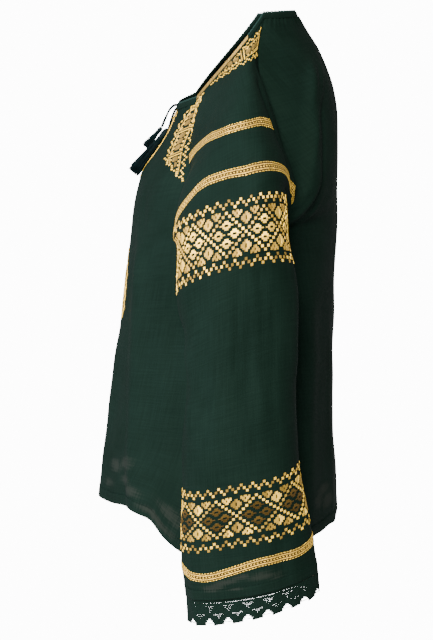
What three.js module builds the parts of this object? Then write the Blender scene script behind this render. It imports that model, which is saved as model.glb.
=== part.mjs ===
// Peasant blouse: a raglan blouse filled out as if worn, with nobody in it.
// Millimetres, +Z up, front towards -Y, the wearer's left towards +X.
// The origin is midway between the shoulders, level with the side of the neck.
import * as THREE from 'three';

const clothWall = 1.5;
const laceWall = 1.1;
const seamGap = 0.3;
const bandGap = 0.6; // a little more where the twisting neck band meets the cloth
const slitTopHalf = 20; // half the width of the neck slit at its top
const slitBottomRow = 2.1;
const underarmRow = 4;
const hemRow = 9;
const sleeveEndRow = 12;
const laceEndRow = 13;
const casingHeight = 7;
const casingDepth = 2.4;
const neckStand = 0.4; // how much the neck band stands up out of the slope of the cloth
const edgingHeight = 3.5;
const bandEvening = 10; // passes that even out the neck band's twist
const edgingDepth = 1.2;
const cordDiameter = 3.5;
const cordSteps = 10;

// Seams of the wearer's left side: raglan seams down to row 4, then the side seam.
const seamRows = {
  row: [0, 1, 2, 2.5, 3, 3.6, 4, 5, 6, 7, 8, 9],
  frontX: [67, 92, 124, 148, 168, 176, 179, 190, 198, 208, 220, 229],
  frontY: [-43, -49, -52, -48, -27, -6, 11, 17, 18, 18, 17, 16],
  frontZ: [-53, -84, -119, -149, -178, -191, -196, -262, -345, -430, -515, -590],
  backX: [71, 103, 141, 164, 180, 183, 179, 190, 198, 208, 220, 229],
  backY: [40, 31, 44, 59, 70, 44, 11, 17, 18, 18, 17, 16],
  backZ: [49, 0, -66, -114, -158, -186, -196, -262, -345, -430, -515, -590],
};

// Middle of each body panel. turn is how far the cloth wraps round from the middle
// to the seam, in degrees; square is 2 for an ellipse and more for a boxier section.
const frontRows = {
  row: [0, 1, 2, 3, 4, 5, 6, 7, 8, 9],
  middleY: [-66, -84, -113, -123, -127, -135, -143, -153, -163, -170],
  middleZ: [-63, -102, -148, -192, -232, -292, -366, -440, -516, -575],
  turn: [35, 50, 65, 74, 86, 88, 88, 88, 88, 88],
  square: [2, 2, 2, 2.1, 2.2, 2.3, 2.4, 2.4, 2.4, 2.4],
};
const backRows = {
  row: [0, 1, 2, 3, 4, 5, 6, 7, 8, 9],
  middleY: [86, 115, 134, 139, 138, 135, 134, 135, 138, 141],
  middleZ: [51, 9, -40, -105, -190, -270, -352, -432, -512, -586],
  turn: [60, 62, 66, 74, 86, 88, 88, 88, 88, 88],
  square: [2, 2, 2.1, 2.2, 2.3, 2.4, 2.4, 2.4, 2.4, 2.4],
};

// Left sleeve. top is the outermost point of each row, inner is the underarm seam,
// spread and rise say how far a row bulges forwards and backwards and how it tilts.
// Row 12 is the sleeve's hem, and rows 12 to 13 are the lace.
const sleeveRows = {
  row: [0, 1, 2, 3, 4, 5, 6, 7, 8, 9, 10, 11, 12, 13],
  topX: [98, 150, 216, 262, 292, 312, 320, 325, 329, 333, 336, 338, 338, 339],
  topY: [-3, 0, 5, 5, 7, 6, 6, 5, 6, 8, 11, 15, 18, 19],
  topZ: [-4, -25, -64, -109, -149, -216, -277, -338, -399, -460, -510, -556, -589, -617],
  innerX: [0, 0, 0, 0, 179, 203, 213, 221, 227, 233, 238, 242, 243, 243],
  innerY: [0, 0, 0, 0, 11, 4, 1, -2, -2, 0, 4, 8, 11, 12],
  innerZ: [0, 0, 0, 0, -196, -262, -314, -366, -418, -472, -516, -558, -588, -614],
  turn: [70, 85, 115, 150, 180, 180, 180, 180, 180, 180, 180, 180, 180, 180],
  frontSpread: [10, 12, 16, 74, 75, 72, 61, 58, 63, 66, 71, 75, 74, 73],
  frontDrop: [0, 0, -12, 50, 32, 27, 24, 21, 18, 16, 14, 14, 16, 19],
  backSpread: [10, 20, 34, 24, 47, 55, 63, 65, 66, 67, 72, 76, 77, 77],
  backRise: [0, 0, -8, 26, 29, 25, 22, 19, 17, 15, 13, 13, 15, 17],
};

// How far the hem is drawn up between its lowest points, across each panel.
const hemRise = {
  across: [-1, -0.75, -0.55, -0.38, -0.24, -0.12, 0, 0.13, 0.25, 0.33, 0.41, 0.5, 0.6, 0.68, 0.78, 1],
  front: [2, 4, 20, 30, 32, 20, 2, 24, 29, 34, 40, 44, 41, 20, 5, 5],
  back: [6, 10, 17, 14, 20, 17, 18, 15, 20, 17, 19, 18, 20, 17, 12, 6],
};
const hemRiseStart = 7;

// Largest folds: each runs from (fromAcross, fromRow) to (toAcross, toRow).
// width is measured across the panel, and depth is outwards in millimetres.
const frontFolds = {
  fromAcross: [0.28, 0.1, -0.3, -0.12, 0.62, -0.66],
  toAcross: [0.53, 0.18, -0.5, -0.2, 0.8, -0.82],
  fromRow: [3.2, 5.4, 3.6, 5.8, 4.6, 4.4],
  toRow: [9, 9, 9, 9, 9, 9],
  width: [0.075, 0.06, 0.08, 0.06, 0.08, 0.08],
  depth: [9, 5, 8, 5, -6, -6],
};
const backFolds = {
  fromAcross: [0.95, 0.97, -0.95, -0.96, 0.12, -0.2, 0.6, -0.6],
  toAcross: [0.42, 0.62, -0.45, -0.6, 0.2, -0.26, 0.66, -0.7],
  fromRow: [3.4, 4.3, 3.3, 4.4, 0.6, 1, 4.6, 4.8],
  toRow: [1, 2.1, 0.9, 2.3, 4.2, 4.6, 9, 9],
  width: [0.07, 0.07, 0.07, 0.07, 0.1, 0.09, 0.09, 0.1],
  depth: [6, 5, 6, 5, -4, -4, 6, 6],
};
const sleeveFolds = {
  fromAcross: [0.62, -0.62, -0.5, 0.35, -0.1],
  toAcross: [0.72, -0.42, -0.34, 0.42, -0.16],
  fromRow: [1.2, 5.2, 5.6, 9.4, 9.2],
  toRow: [3.4, 7.4, 8.2, 13, 13],
  width: [0.08, 0.07, 0.07, 0.09, 0.09],
  depth: [-7, -7, 4, 2.5, -2.5],
};
const foldFade = 0.25; // share of a fold's length over which it fades at each end

// Grid lines of the faceted cloth.
const raglanGrid = [0, 0.5, 1, 1.5, slitBottomRow, 2.6, 3, 3.3, 3.6, underarmRow];
const bodyGrid = [4.5, 5, 5.75, 6.5, 7.25, 8, 8.5, hemRow];
const sleeveGrid = [4.5, 5, 5.5, 6, 6.75, 7.5, 8.25, 9, 9.75, 10.5, 11.25, sleeveEndRow];
const frontColumns = 24;
const backColumns = 20;
const sleeveColumns = 24;

const green = { cloth: '#1f3a2c', trim: '#1b3528', silk: '#16302a' };

// Value of one column of a table at a row, on a smooth curve with no overshoot.
function along(table, column, at, key = 'row') {
  const rows = table[key];
  const values = table[column];
  const last = rows.length - 1;
  const place = Math.min(Math.max(at, rows[0]), rows[last]);
  let i = 0;
  while (i < last - 1 && place > rows[i + 1]) i += 1;
  const slopeOf = (k) => (values[k + 1] - values[k]) / (rows[k + 1] - rows[k]);
  const tangent = (k) => {
    if (k === 0) return slopeOf(0);
    if (k === last) return slopeOf(last - 1);
    const before = slopeOf(k - 1);
    const after = slopeOf(k);
    if (before * after <= 0) return 0;
    const stepBefore = rows[k] - rows[k - 1];
    const stepAfter = rows[k + 1] - rows[k];
    const weightBefore = (2 * stepAfter + stepBefore) / before;
    const weightAfter = (stepAfter + 2 * stepBefore) / after;
    return (3 * (stepBefore + stepAfter)) / (weightBefore + weightAfter);
  };
  const step = rows[i + 1] - rows[i];
  const x = (place - rows[i]) / step;
  const hermite = [2 * x ** 3 - 3 * x ** 2 + 1, x ** 3 - 2 * x ** 2 + x, 3 * x ** 2 - 2 * x ** 3, x ** 3 - x ** 2];
  return hermite[0] * values[i] + hermite[1] * step * tangent(i)
    + hermite[2] * values[i + 1] + hermite[3] * step * tangent(i + 1);
}

function pointFrom(table, name, row) {
  return new THREE.Vector3(...['X', 'Y', 'Z'].map((axis) => along(table, name + axis, row)));
}

function smooth(x) {
  const y = Math.min(Math.max(x, 0), 1);
  return y * y * (3 - 2 * y);
}

// A body panel before its folds. across runs from -1 at the right seam to 1 at the left.
function panelPoint(side, across, row) {
  const table = side === 'front' ? frontRows : backRows;
  const edge = pointFrom(seamRows, row < underarmRow ? side : 'front', row); // one side seam
  const turn = THREE.MathUtils.degToRad(along(table, 'turn', row));
  const power = 2 / along(table, 'square', row);
  const share = Math.abs(across);
  const outwards = Math.sin(share * turn) ** power / Math.sin(turn) ** power;
  const endDepth = Math.cos(turn) ** power;
  const depth = (Math.cos(share * turn) ** power - endDepth) / (1 - endDepth);
  const open = side === 'front' && row < slitBottomRow ? slitTopHalf * (1 - row / slitBottomRow) : 0;
  const x = open + (edge.x - open) * outwards;
  const y = edge.y + (along(table, 'middleY', row) - edge.y) * depth;
  const z = THREE.MathUtils.lerp(along(table, 'middleZ', row), edge.z, outwards ** 2);
  const drawnUp = along(hemRise, side, across, 'across') * smooth((row - hemRiseStart) / (hemRow - hemRiseStart));
  return new THREE.Vector3(across < 0 ? -x : x, y, z + drawnUp);
}

// The left sleeve before its folds. across runs from -1 at the front seam to 1 at the back.
function sleevePoint(across, row) {
  const top = pointFrom(sleeveRows, 'top', row);
  const underarm = pointFrom(sleeveRows, 'inner', row);
  const frontEnd = row < underarmRow ? pointFrom(seamRows, 'front', row) : underarm;
  const backEnd = row < underarmRow ? pointFrom(seamRows, 'back', row) : underarm;
  const middle = frontEnd.clone().add(backEnd).multiplyScalar(0.5);
  const turn = THREE.MathUtils.degToRad(along(sleeveRows, 'turn', row));
  const arch = (Math.cos(across * turn) - Math.cos(turn)) / (1 - Math.cos(turn));
  const bulge = Math.sin(across * turn) - across * Math.sin(turn);
  const spread = along(sleeveRows, across < 0 ? 'frontSpread' : 'backSpread', row);
  const rise = along(sleeveRows, across < 0 ? 'frontDrop' : 'backRise', row);
  return middle.clone()
    .addScaledVector(top.sub(middle), arch)
    .addScaledVector(backEnd.clone().sub(frontEnd), across / 2)
    .add(new THREE.Vector3(0, spread * bulge, rise * bulge));
}

// Height of the folds at a place on a piece.
function foldHeight(folds, across, row, freeRow) {
  let height = 0;
  for (let i = 0; i < folds.depth.length; i += 1) {
    const share = (row - folds.fromRow[i]) / (folds.toRow[i] - folds.fromRow[i]);
    if (share > 0 && share <= 1) {
      const line = THREE.MathUtils.lerp(folds.fromAcross[i], folds.toAcross[i], share);
      const endFade = folds.toRow[i] === freeRow ? 1 : smooth((1 - share) / foldFade);
      const away = (across - line) / folds.width[i];
      height += folds.depth[i] * Math.exp(-away * away) * smooth(share / foldFade) * endFade;
    }
  }
  return height;
}

// facing is 1 where across x down points out of the garment, and -1 where it points in.
const pieces = {
  front: { at: (a, r) => panelPoint('front', a, r), folds: frontFolds, freeRow: hemRow, facing: -1 },
  back: { at: (a, r) => panelPoint('back', a, r), folds: backFolds, freeRow: hemRow, facing: 1 },
  sleeve: { at: sleevePoint, folds: sleeveFolds, freeRow: laceEndRow, facing: -1 },
};

function outwardAt(piece, across, row) {
  const reach = 0.01;
  const left = Math.max(across - reach, -1);
  const right = Math.min(across + reach, 1);
  const up = Math.max(row - reach, 0);
  const down = Math.min(row + reach, piece.freeRow);
  const alongAcross = piece.at(right, row).sub(piece.at(left, row));
  const alongRow = piece.at(across, down).sub(piece.at(across, up));
  return alongAcross.cross(alongRow).normalize().multiplyScalar(piece.facing);
}

// Unit direction from a seam edge into the piece.
function intoPiece(piece, edge, row) {
  return piece.at(edge * 0.97, row).sub(piece.at(edge, row)).normalize();
}

// Which pieces a seam edge is sewn to. A place at the underarm has two.
function partnersOf(name, edge, row) {
  const partners = [];
  const otherPanel = name === 'front' ? 'back' : 'front';
  if (name === 'sleeve') {
    if (row <= underarmRow) partners.push([pieces[edge < 0 ? 'front' : 'back'], 1]);
    if (row >= underarmRow) partners.push([pieces.sleeve, -edge]);
  } else {
    if (row <= underarmRow) partners.push([pieces.sleeve, name === 'front' ? -1 : 1]);
    if (row >= underarmRow) partners.push([pieces[otherPanel], 1]);
  }
  return partners;
}

// A point of the outer face and its outward direction, with the seam gap left at the edges.
function seated(name, across, row) {
  const piece = pieces[name];
  const point = piece.at(across, row);
  const outward = outwardAt(piece, across, row);
  if (Math.abs(across) < 1) {
    const edgeFade = smooth((1 - Math.abs(across)) / 0.12);
    const height = foldHeight(piece.folds, across, row, piece.freeRow) * edgeFade;
    return { point: point.addScaledVector(outward, height), outward };
  }
  const mirrored = name !== 'sleeve' && across < 0;
  const edge = mirrored ? 1 : across;
  const own = piece.at(edge, row);
  const ownOut = outwardAt(piece, edge, row);
  const shift = new THREE.Vector3();
  const turned = ownOut.clone();
  for (const [partner, partnerEdge] of partnersOf(name, edge, row)) {
    const apart = intoPiece(piece, edge, row).sub(intoPiece(partner, partnerEdge, row));
    shift.addScaledVector(apart.normalize(), seamGap / 2);
    const partnerOut = outwardAt(partner, partnerEdge, row);
    turned.addScaledVector(partnerOut, Math.max(0, ownOut.dot(partnerOut)));
  }
  own.add(shift);
  turned.normalize();
  if (mirrored) {
    own.x *= -1;
    turned.x *= -1;
  }
  return { point: own, outward: turned };
}

// One closed body from an outer face of quads and an inner face behind it.
function wallGeometry(outer, inner, quads) {
  const count = outer.length;
  const index = [];
  const rim = new Map();
  for (const quad of quads) {
    const [a, b, c, d] = quad;
    index.push(a, b, c, a, c, d);
    index.push(count + c, count + b, count + a, count + d, count + c, count + a);
    quad.forEach((from, k) => {
      const to = quad[(k + 1) % 4];
      if (!rim.delete(`${to} ${from}`)) rim.set(`${from} ${to}`, [from, to]);
    });
  }
  for (const [from, to] of rim.values()) {
    index.push(to, from, count + from, to, count + from, count + to);
  }
  const geometry = new THREE.BufferGeometry();
  const places = [...outer, ...inner].flatMap((point) => point.toArray());
  geometry.setAttribute('position', new THREE.Float32BufferAttribute(places, 3));
  geometry.setIndex(index);
  geometry.computeVertexNormals();
  return geometry;
}

// A cloth wall over a grid of rows and columns. slitRow opens the middle column above it.
function clothPiece({ name, rows, columns, wall = clothWall, slitRow = 0, side = 1, topGap = 0 }) {
  const outer = [];
  const inner = [];
  const numbers = new Map();
  const middle = columns / 2;
  const vertex = (column, r, half) => {
    const split = column === middle && rows[r] < slitRow;
    const key = `${column} ${r} ${split ? half : 0}`;
    if (!numbers.has(key)) {
      const nudge = split ? half * 1e-6 : 0;
      const across = (2 * column) / columns - 1 + nudge;
      const { point, outward } = seated(name, across, rows[r]);
      if (r === 0 && topGap > 0) {
        point.addScaledVector(downAt(name, across, rows[0]), topGap);
      }
      const back = point.clone().addScaledVector(outward, -wall);
      for (const place of [point, back]) place.x *= side;
      numbers.set(key, outer.push(point) - 1);
      inner.push(back);
    }
    return numbers.get(key);
  };
  const quads = [];
  const keepOrder = pieces[name].facing * side > 0;
  for (let r = 0; r < rows.length - 1; r += 1) {
    for (let column = 0; column < columns; column += 1) {
      const half = column < middle ? -1 : 1;
      const quad = [vertex(column, r, half), vertex(column + 1, r, half),
        vertex(column + 1, r + 1, half), vertex(column, r + 1, half)];
      quads.push(keepOrder ? quad : quad.reverse());
    }
  }
  return wallGeometry(outer, inner, quads);
}

// Unit direction down the cloth from a place.
function downAt(name, across, row) {
  const { at } = pieces[name];
  return at(across, row + 0.05).sub(at(across, row)).normalize();
}

function stationAt(name, across) {
  const up = downAt(name, across, 0).negate().add(new THREE.Vector3(0, 0, neckStand)).normalize();
  return { point: pieces[name].at(across, 0), up, outward: outwardAt(pieces[name], across, 0) };
}

// The neckline from the left end of the slit round the back to the right end.
function necklineStations() {
  const left = [];
  const add = (name, from, to, steps) => {
    for (let i = 0; i < steps; i += 1) {
      const across = THREE.MathUtils.lerp(from, to, i / steps);
      left.push(stationAt(name, across));
    }
  };
  add('front', 1e-6, 1, 4);
  add('sleeve', -1, 1, 14);
  add('back', 1, 0, 7);
  const flip = (v) => new THREE.Vector3(-v.x, v.y, v.z);
  const right = left.map(({ point, up, outward }) => ({ point: flip(point), up: flip(up), outward: flip(outward) }));
  let stations = [...left, stationAt('back', 0), ...right.reverse()];
  for (let pass = 0; pass < bandEvening; pass += 1) stations = evened(stations);
  return stations;
}

// Directions evened out over each station's neighbours, so that a band turns smoothly.
function evened(stations) {
  return stations.map((station, i) => {
    const near = stations.slice(Math.max(i - 1, 0), i + 2);
    const up = near.reduce((sum, s) => sum.add(s.up), new THREE.Vector3()).normalize();
    const outward = near.reduce((sum, s) => sum.add(s.outward), new THREE.Vector3());
    outward.addScaledVector(up, -outward.dot(up)).normalize();
    return { point: station.point, up, outward };
  });
}

// A flat band that stands on the neckline, between two heights.
function neckBand(low, high, depth) {
  const outer = [];
  const inner = [];
  for (const { point, up, outward } of necklineStations()) {
    for (const height of [high, low]) {
      const middle = point.clone().addScaledVector(up, height).addScaledVector(outward, -clothWall / 2);
      outer.push(middle.clone().addScaledVector(outward, depth / 2));
      inner.push(middle.clone().addScaledVector(outward, -depth / 2));
    }
  }
  const quads = [];
  for (let i = 0; i < outer.length - 2; i += 2) quads.push([i + 1, i + 3, i + 2, i]);
  return wallGeometry(outer, inner, quads);
}

// Free ends of the drawstring: places chosen by hand along each cord.
const cordRoutes = {
  left: [[18.7, -64.4, -60], [17.6, -64.8, -60.2], [15, -66.8, -61.9], [12.2, -69.2, -65.6], [9.6, -71.4, -70.6],
    [7.2, -73.4, -76.4], [5.4, -75.4, -82.6], [4.3, -77.3, -88.4]],
  right: [[-18.7, -64.4, -60], [-17.6, -64.7, -59.9], [-16.9, -68.2, -59.6], [-17, -72.4, -61.8], [-16.8, -76.6, -67],
    [-16, -80.2, -74.4], [-15, -83.6, -82], [-14.4, -85.8, -87.4]],
};
const tassels = {
  left: { top: [4.2, -77.7, -89.2], end: [3.7, -124.2, -145.9], fullness: 1.45 },
  right: { top: [-14.3, -86.1, -88.1], end: [-6, -107.5, -113.5], fullness: 1 },
};
const tasselProfile = {
  share: [0, 0.04, 0.12, 0.2, 0.26, 0.45, 0.75, 1],
  radius: [1.6, 2.8, 3.2, 2.7, 2.3, 3.3, 4.4, 5.4],
};

function vectorsOf(points) {
  return points.map((place) => new THREE.Vector3(...place));
}

function cordGeometry(points) {
  const sides = 8;
  const section = new THREE.Shape();
  for (let i = 0; i < sides; i += 1) {
    const angle = (2 * Math.PI * i) / sides;
    const corner = [Math.cos(angle) * cordDiameter / 2, Math.sin(angle) * cordDiameter / 2];
    if (i === 0) section.moveTo(...corner);
    else section.lineTo(...corner);
  }
  const path = new THREE.CatmullRomCurve3(vectorsOf(points));
  return new THREE.ExtrudeGeometry(section, { steps: cordSteps, bevelEnabled: false, extrudePath: path });
}

function tasselMesh(name, { top, end, fullness }) {
  const [start, stop] = vectorsOf([top, end]);
  const length = start.distanceTo(stop);
  const profile = [new THREE.Vector2(0, 0)];
  tasselProfile.share.forEach((share, i) => {
    profile.push(new THREE.Vector2(tasselProfile.radius[i] * fullness, share * length));
  });
  profile.push(new THREE.Vector2(0, length));
  const tassel = mesh(name, new THREE.LatheGeometry(profile, 10), green.silk, 0.5);
  tassel.position.copy(start);
  tassel.quaternion.setFromUnitVectors(new THREE.Vector3(0, 1, 0), stop.sub(start).normalize());
  return tassel;
}

function mesh(name, geometry, color, roughness = 0.85) {
  const made = new THREE.Mesh(geometry, new THREE.MeshStandardMaterial({ color, roughness, metalness: 0 }));
  made.name = name;
  return made;
}

const blouse = new THREE.Group();
const bodyRows = [...raglanGrid, ...bodyGrid];
const sleeveAll = [...raglanGrid, ...sleeveGrid];
const laceTopRow = sleeveEndRow + 0.01; // leaves the seam gap under the sleeve's hem

blouse.add(mesh('front', clothPiece({
  name: 'front', rows: bodyRows, columns: frontColumns, slitRow: slitBottomRow, topGap: bandGap,
}), green.cloth));
blouse.add(mesh('back', clothPiece({ name: 'back', rows: bodyRows, columns: backColumns, topGap: bandGap }), green.cloth));
for (const [label, side] of [['left', 1], ['right', -1]]) {
  const sleeve = clothPiece({ name: 'sleeve', rows: sleeveAll, columns: sleeveColumns, side, topGap: bandGap });
  blouse.add(mesh(`sleeve_${label}`, sleeve, green.cloth));
  const lace = clothPiece({
    name: 'sleeve', rows: [laceTopRow, laceEndRow], columns: sleeveColumns, side, wall: laceWall,
  });
  blouse.add(mesh(`cuff_lace_${label}`, lace, green.trim));
  blouse.add(mesh(`drawstring_${label}`, cordGeometry(cordRoutes[label]), green.silk));
  blouse.add(tasselMesh(`tassel_${label}`, tassels[label]));
}
blouse.add(mesh('neck_casing', neckBand(seamGap, casingHeight, casingDepth), green.cloth));
blouse.add(mesh('neck_edging', neckBand(casingHeight + bandGap, casingHeight + bandGap + edgingHeight, edgingDepth), green.trim));

export default blouse;
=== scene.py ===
import bmesh
import bpy
import numpy as np
from mathutils import Matrix, Vector


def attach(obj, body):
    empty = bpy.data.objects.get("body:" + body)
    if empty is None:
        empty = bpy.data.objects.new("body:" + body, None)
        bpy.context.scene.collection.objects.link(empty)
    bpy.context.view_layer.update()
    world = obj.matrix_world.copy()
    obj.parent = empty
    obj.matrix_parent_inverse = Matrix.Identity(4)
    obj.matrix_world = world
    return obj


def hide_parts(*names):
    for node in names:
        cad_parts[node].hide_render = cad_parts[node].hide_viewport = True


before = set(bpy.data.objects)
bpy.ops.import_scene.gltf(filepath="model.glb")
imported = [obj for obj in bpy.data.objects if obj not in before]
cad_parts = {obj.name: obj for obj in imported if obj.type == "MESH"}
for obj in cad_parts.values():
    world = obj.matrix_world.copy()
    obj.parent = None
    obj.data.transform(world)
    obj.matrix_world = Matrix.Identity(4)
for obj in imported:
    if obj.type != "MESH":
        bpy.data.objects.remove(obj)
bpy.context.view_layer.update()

bpy.ops.object.select_all(action='DESELECT')

# The camera stands at the wearer's left, a little above the waist.
cameraValues = {"turnToFront": 1.5, "tiltDown": 10.4, "distance": 2.0, "shiftBack": -0.016, "height": 0.03,
                "lens": 87.7, "sensor": 36}


def placeCamera(values):
    turn, tilt = np.radians(values["turnToFront"]), np.radians(values["tiltDown"])
    outwards = Vector((np.cos(turn), -np.sin(turn), 0))
    right = Vector((np.sin(turn), np.cos(turn), 0))
    spot = outwards * values["distance"] + right * values["shiftBack"] + Vector((0, 0, values["height"]))
    looking = -outwards * np.cos(tilt) - Vector((0, 0, np.sin(tilt)))
    bpy.ops.object.camera_add(location=spot, rotation=looking.to_track_quat('-Z', 'Y').to_euler())
    camera = bpy.context.object
    camera.name = "camera"
    camera.data.lens, camera.data.sensor_width = values["lens"], values["sensor"]
    bpy.context.scene.camera = camera
    bpy.ops.object.select_all(action='DESELECT')


placeCamera(cameraValues)
print("stage: camera")


# Meshes from lists of places in millimetres.
def meshPiece(name, places, faces, uv=None, tints=None, values=None, material=None):
    mesh = bpy.data.meshes.new(name)
    mesh.from_pydata((np.asarray(places, float) / 1000).tolist(), [], faces)
    loopPoint = np.empty(len(mesh.loops), int)
    mesh.loops.foreach_get("vertex_index", loopPoint)
    if uv is not None:
        layer = mesh.uv_layers.new(name="cloth")
        layer.data.foreach_set("uv", (np.asarray(uv, float) / 1000)[loopPoint].ravel())
    if tints is not None:
        layer = mesh.color_attributes.new("tint", 'FLOAT_COLOR', 'POINT')
        layer.data.foreach_set("color", np.asarray(tints, float).ravel())
    for key, column in (values or {}).items():
        column = np.asarray(column, float).ravel()
        mesh.attributes.new(key, 'FLOAT', 'POINT').data.foreach_set("value", column)
    piece = bpy.data.objects.new(name, mesh)
    bpy.context.scene.collection.objects.link(piece)
    mesh.validate()
    mesh.update()
    if material:
        mesh.materials.append(material)
    return piece


def useModifier(piece, kind, **settings):
    modifier = piece.modifiers.new(kind.lower(), kind)
    for key, value in settings.items():
        setattr(modifier, key, value)
    bpy.context.view_layer.objects.active = piece
    piece.select_set(True)
    bpy.ops.object.modifier_apply(modifier=modifier.name)
    piece.select_set(False)


def shadeSmooth(piece):
    piece.data.polygons.foreach_set("use_smooth", np.ones(len(piece.data.polygons), bool))
    piece.data.update()


def register(piece, nodes=()):
    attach(piece, "root")
    if nodes:
        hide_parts(*nodes)
    return piece


def unit(v):
    return v / np.maximum(np.linalg.norm(v, axis=-1, keepdims=True), 1e-9)


def lerp(a, b, share):
    return a + (b - a) * share


def smooth(x):
    y = np.clip(x, 0, 1)
    return y * y * (3 - 2 * y)


# How far each place lies along its line.
def ranAlong(places, axis=0):
    step = np.linalg.norm(np.diff(places, axis=axis), axis=-1)
    return np.pad(np.cumsum(step, axis=axis), [(int(k == axis), 0) for k in range(step.ndim)])


# The columns of a table at places between its own.
def between(at, places, table):
    return np.stack([np.interp(at, places, column) for column in np.transpose(table)], -1)


def smoothLine(points, steps):
    points = np.asarray(points, float)
    full = np.vstack([2 * points[0] - points[1], points, 2 * points[-1] - points[-2]])
    made = []
    for i in range(1, len(full) - 2):
        a, b, c, d = full[i - 1:i + 3]
        for t in np.arange(steps) / steps:
            made.append(0.5 * (2 * b + (c - a) * t + (2 * a - 5 * b + 4 * c - d) * t * t
                               + (3 * b - a - 3 * c + d) * t ** 3))
    made.append(points[-1])
    return np.array(made)


# Rings of places joined into one closed solid.
def ringPiece(rings):
    count, sides = len(rings), len(rings[0])
    faces = []
    for i in range(count - 1):
        for k in range(sides):
            a, b = i * sides + k, i * sides + (k + 1) % sides
            faces.append((a, b, b + sides, a + sides))
    faces.append(tuple(range(sides))[::-1])
    faces.append(tuple((count - 1) * sides + k for k in range(sides)))
    return np.vstack(rings), faces


# A solid round a line, for cords, threads and edgings, from its sections across the line.
def tubeParts(line, sections, firstSide=(0, 0, 1)):
    line = np.asarray(line, float)
    along = unit(np.gradient(line, axis=0))
    side = np.array(firstSide, float)
    rings = []
    for place, way, section in zip(line, along, sections):
        side = unit(side - way * side.dot(way))
        other = np.cross(way, side)
        section = np.asarray(section, float)
        rings.append(place + section[:, :1] * side + section[:, 1:2] * other)
    return ringPiece(rings)


def circle(radius, sides):
    turn = 2 * np.pi * np.arange(sides) / sides
    return np.stack([np.cos(turn), np.sin(turn)], -1) * radius


# The same face seen from its other side, from the same first corner.
def turnedOver(face):
    return [face[0], *face[:0:-1]]


def joinParts(parts):
    places, faces, base = [], [], 0
    for points, some in parts:
        places.append(points)
        faces.extend(tuple(base + k for k in face) for face in some)
        base += len(points)
    return np.vstack(places), faces


# Materials.
def addNode(tree, kind, inputs=None, **settings):
    node = tree.nodes.new(kind)
    for key, value in settings.items():
        setattr(node, key, value)
    for key, value in (inputs or {}).items():
        if isinstance(value, bpy.types.NodeSocket):
            tree.links.new(value, node.inputs[key])
        else:
            node.inputs[key].default_value = value
    return node


def newMaterial(name):
    material = bpy.data.materials.new(name)
    material.use_nodes = True
    tree = material.node_tree
    return material, tree, tree.nodes["Principled BSDF"]


def mixNumber(tree, operation, a, b):
    return addNode(tree, 'ShaderNodeMath', {0: a, 1: b}, operation=operation).outputs[0]


def attribute(tree, name, output="Fac"):
    return addNode(tree, 'ShaderNodeAttribute', attribute_name=name).outputs[output]


def mixColour(tree, share, a, b):
    return addNode(tree, 'ShaderNodeMix', {0: share, 6: a, 7: b}, data_type='RGBA').outputs[2]


def stretched(tree, source, scale, noiseScale=1.0, detail=2.0):
    mapping = addNode(tree, 'ShaderNodeMapping', {"Vector": source, "Scale": scale})
    return addNode(tree, 'ShaderNodeTexNoise', {"Vector": mapping.outputs[0], "Scale": noiseScale,
                                                "Detail": detail}).outputs[0]


def spread(tree, source, low, high, newLow=0.0, newHigh=1.0):
    return addNode(tree, 'ShaderNodeMapRange', {0: source, 1: low, 2: high, 3: newLow, 4: newHigh},
                   interpolation_type='SMOOTHSTEP').outputs[0]


linenValues = {
    "dark": (0.0011, 0.0048, 0.0029, 1),
    "light": (0.0023, 0.0077, 0.0050, 1),
    # The third colour is painted light: paler cloth where light shows through thin places.
    "sheerLight": (0.0083, 0.0120, 0.0089, 1),
    "pitch": 0.00075,
    "roughness": 0.8,
    "specular": 0.03,
}


def threadWaves(tree, uv, pitch, distortion, detail, detailScale, way):
    return addNode(tree, 'ShaderNodeTexWave', {
        "Vector": uv, "Scale": 2 * np.pi / 20 / pitch, "Distortion": distortion, "Detail": detail,
        "Detail Scale": detailScale}, bands_direction=way).outputs["Fac"]


# A fabric's colour, relief and gloss.
def finishShader(tree, shader, colour, height, strength, depth, values):
    bump = addNode(tree, 'ShaderNodeBump', {"Height": height, "Strength": strength, "Distance": depth})
    tree.links.new(colour, shader.inputs["Base Color"])
    tree.links.new(bump.outputs[0], shader.inputs["Normal"])
    shader.inputs["Roughness"].default_value = values["roughness"]
    shader.inputs["Specular IOR Level"].default_value = values["specular"]


def makeLinen(name, values):
    material, tree, shader = newMaterial(name)
    uv = addNode(tree, 'ShaderNodeUVMap', uv_map="cloth").outputs[0]
    fineness, slubLength = 1 / 0.0016, 1 / 0.045
    slubs = mixNumber(tree, 'ADD', stretched(tree, uv, (fineness, slubLength, 1)),
                      stretched(tree, uv, (slubLength, fineness, 1)))
    clouds = stretched(tree, uv, (1, 1, 1), 14, 4)
    tone = mixNumber(tree, 'ADD', spread(tree, slubs, 0.7, 1.3, 0, 0.55),
                     spread(tree, clouds, 0.3, 0.7, 0, 0.45))
    grain = mixNumber(tree, 'ADD', spread(tree, slubs, 0.75, 1.25, -0.35, 0.35),
                      spread(tree, clouds, 0.35, 0.65, -0.25, 0.25))
    # Painted light: where the cloth is thin, from the given patches and the weave's grain, its colour turns
    # paler as if light shone through it.
    litThrough = mixNumber(tree, 'ADD', attribute(tree, "sheerLight"), mixNumber(tree, 'MULTIPLY', grain, 0.6))
    colour = mixColour(tree, tone, values["dark"], values["light"])
    colour = mixColour(tree, spread(tree, litThrough, 0.35, 0.95, 0, 0.85), colour, values["sheerLight"])
    waves = [threadWaves(tree, uv, values["pitch"], 1.5, 2.0, 0.4, way) for way in ('X', 'Y')]
    weave = mixNumber(tree, 'MULTIPLY', mixNumber(tree, 'MULTIPLY', *waves), 0.5)
    finishShader(tree, shader, colour, mixNumber(tree, 'ADD', weave, slubs), 0.35, 0.0006, values)
    return material


threadValues = {"roughness": 0.38, "pitch": 0.00045, "specular": 0.28, "glint": (1.0, 0.68, 0.18, 1),
                "metallic": 0.45, "shadow": (0.05, 0.035, 0.015, 1)}


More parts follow.
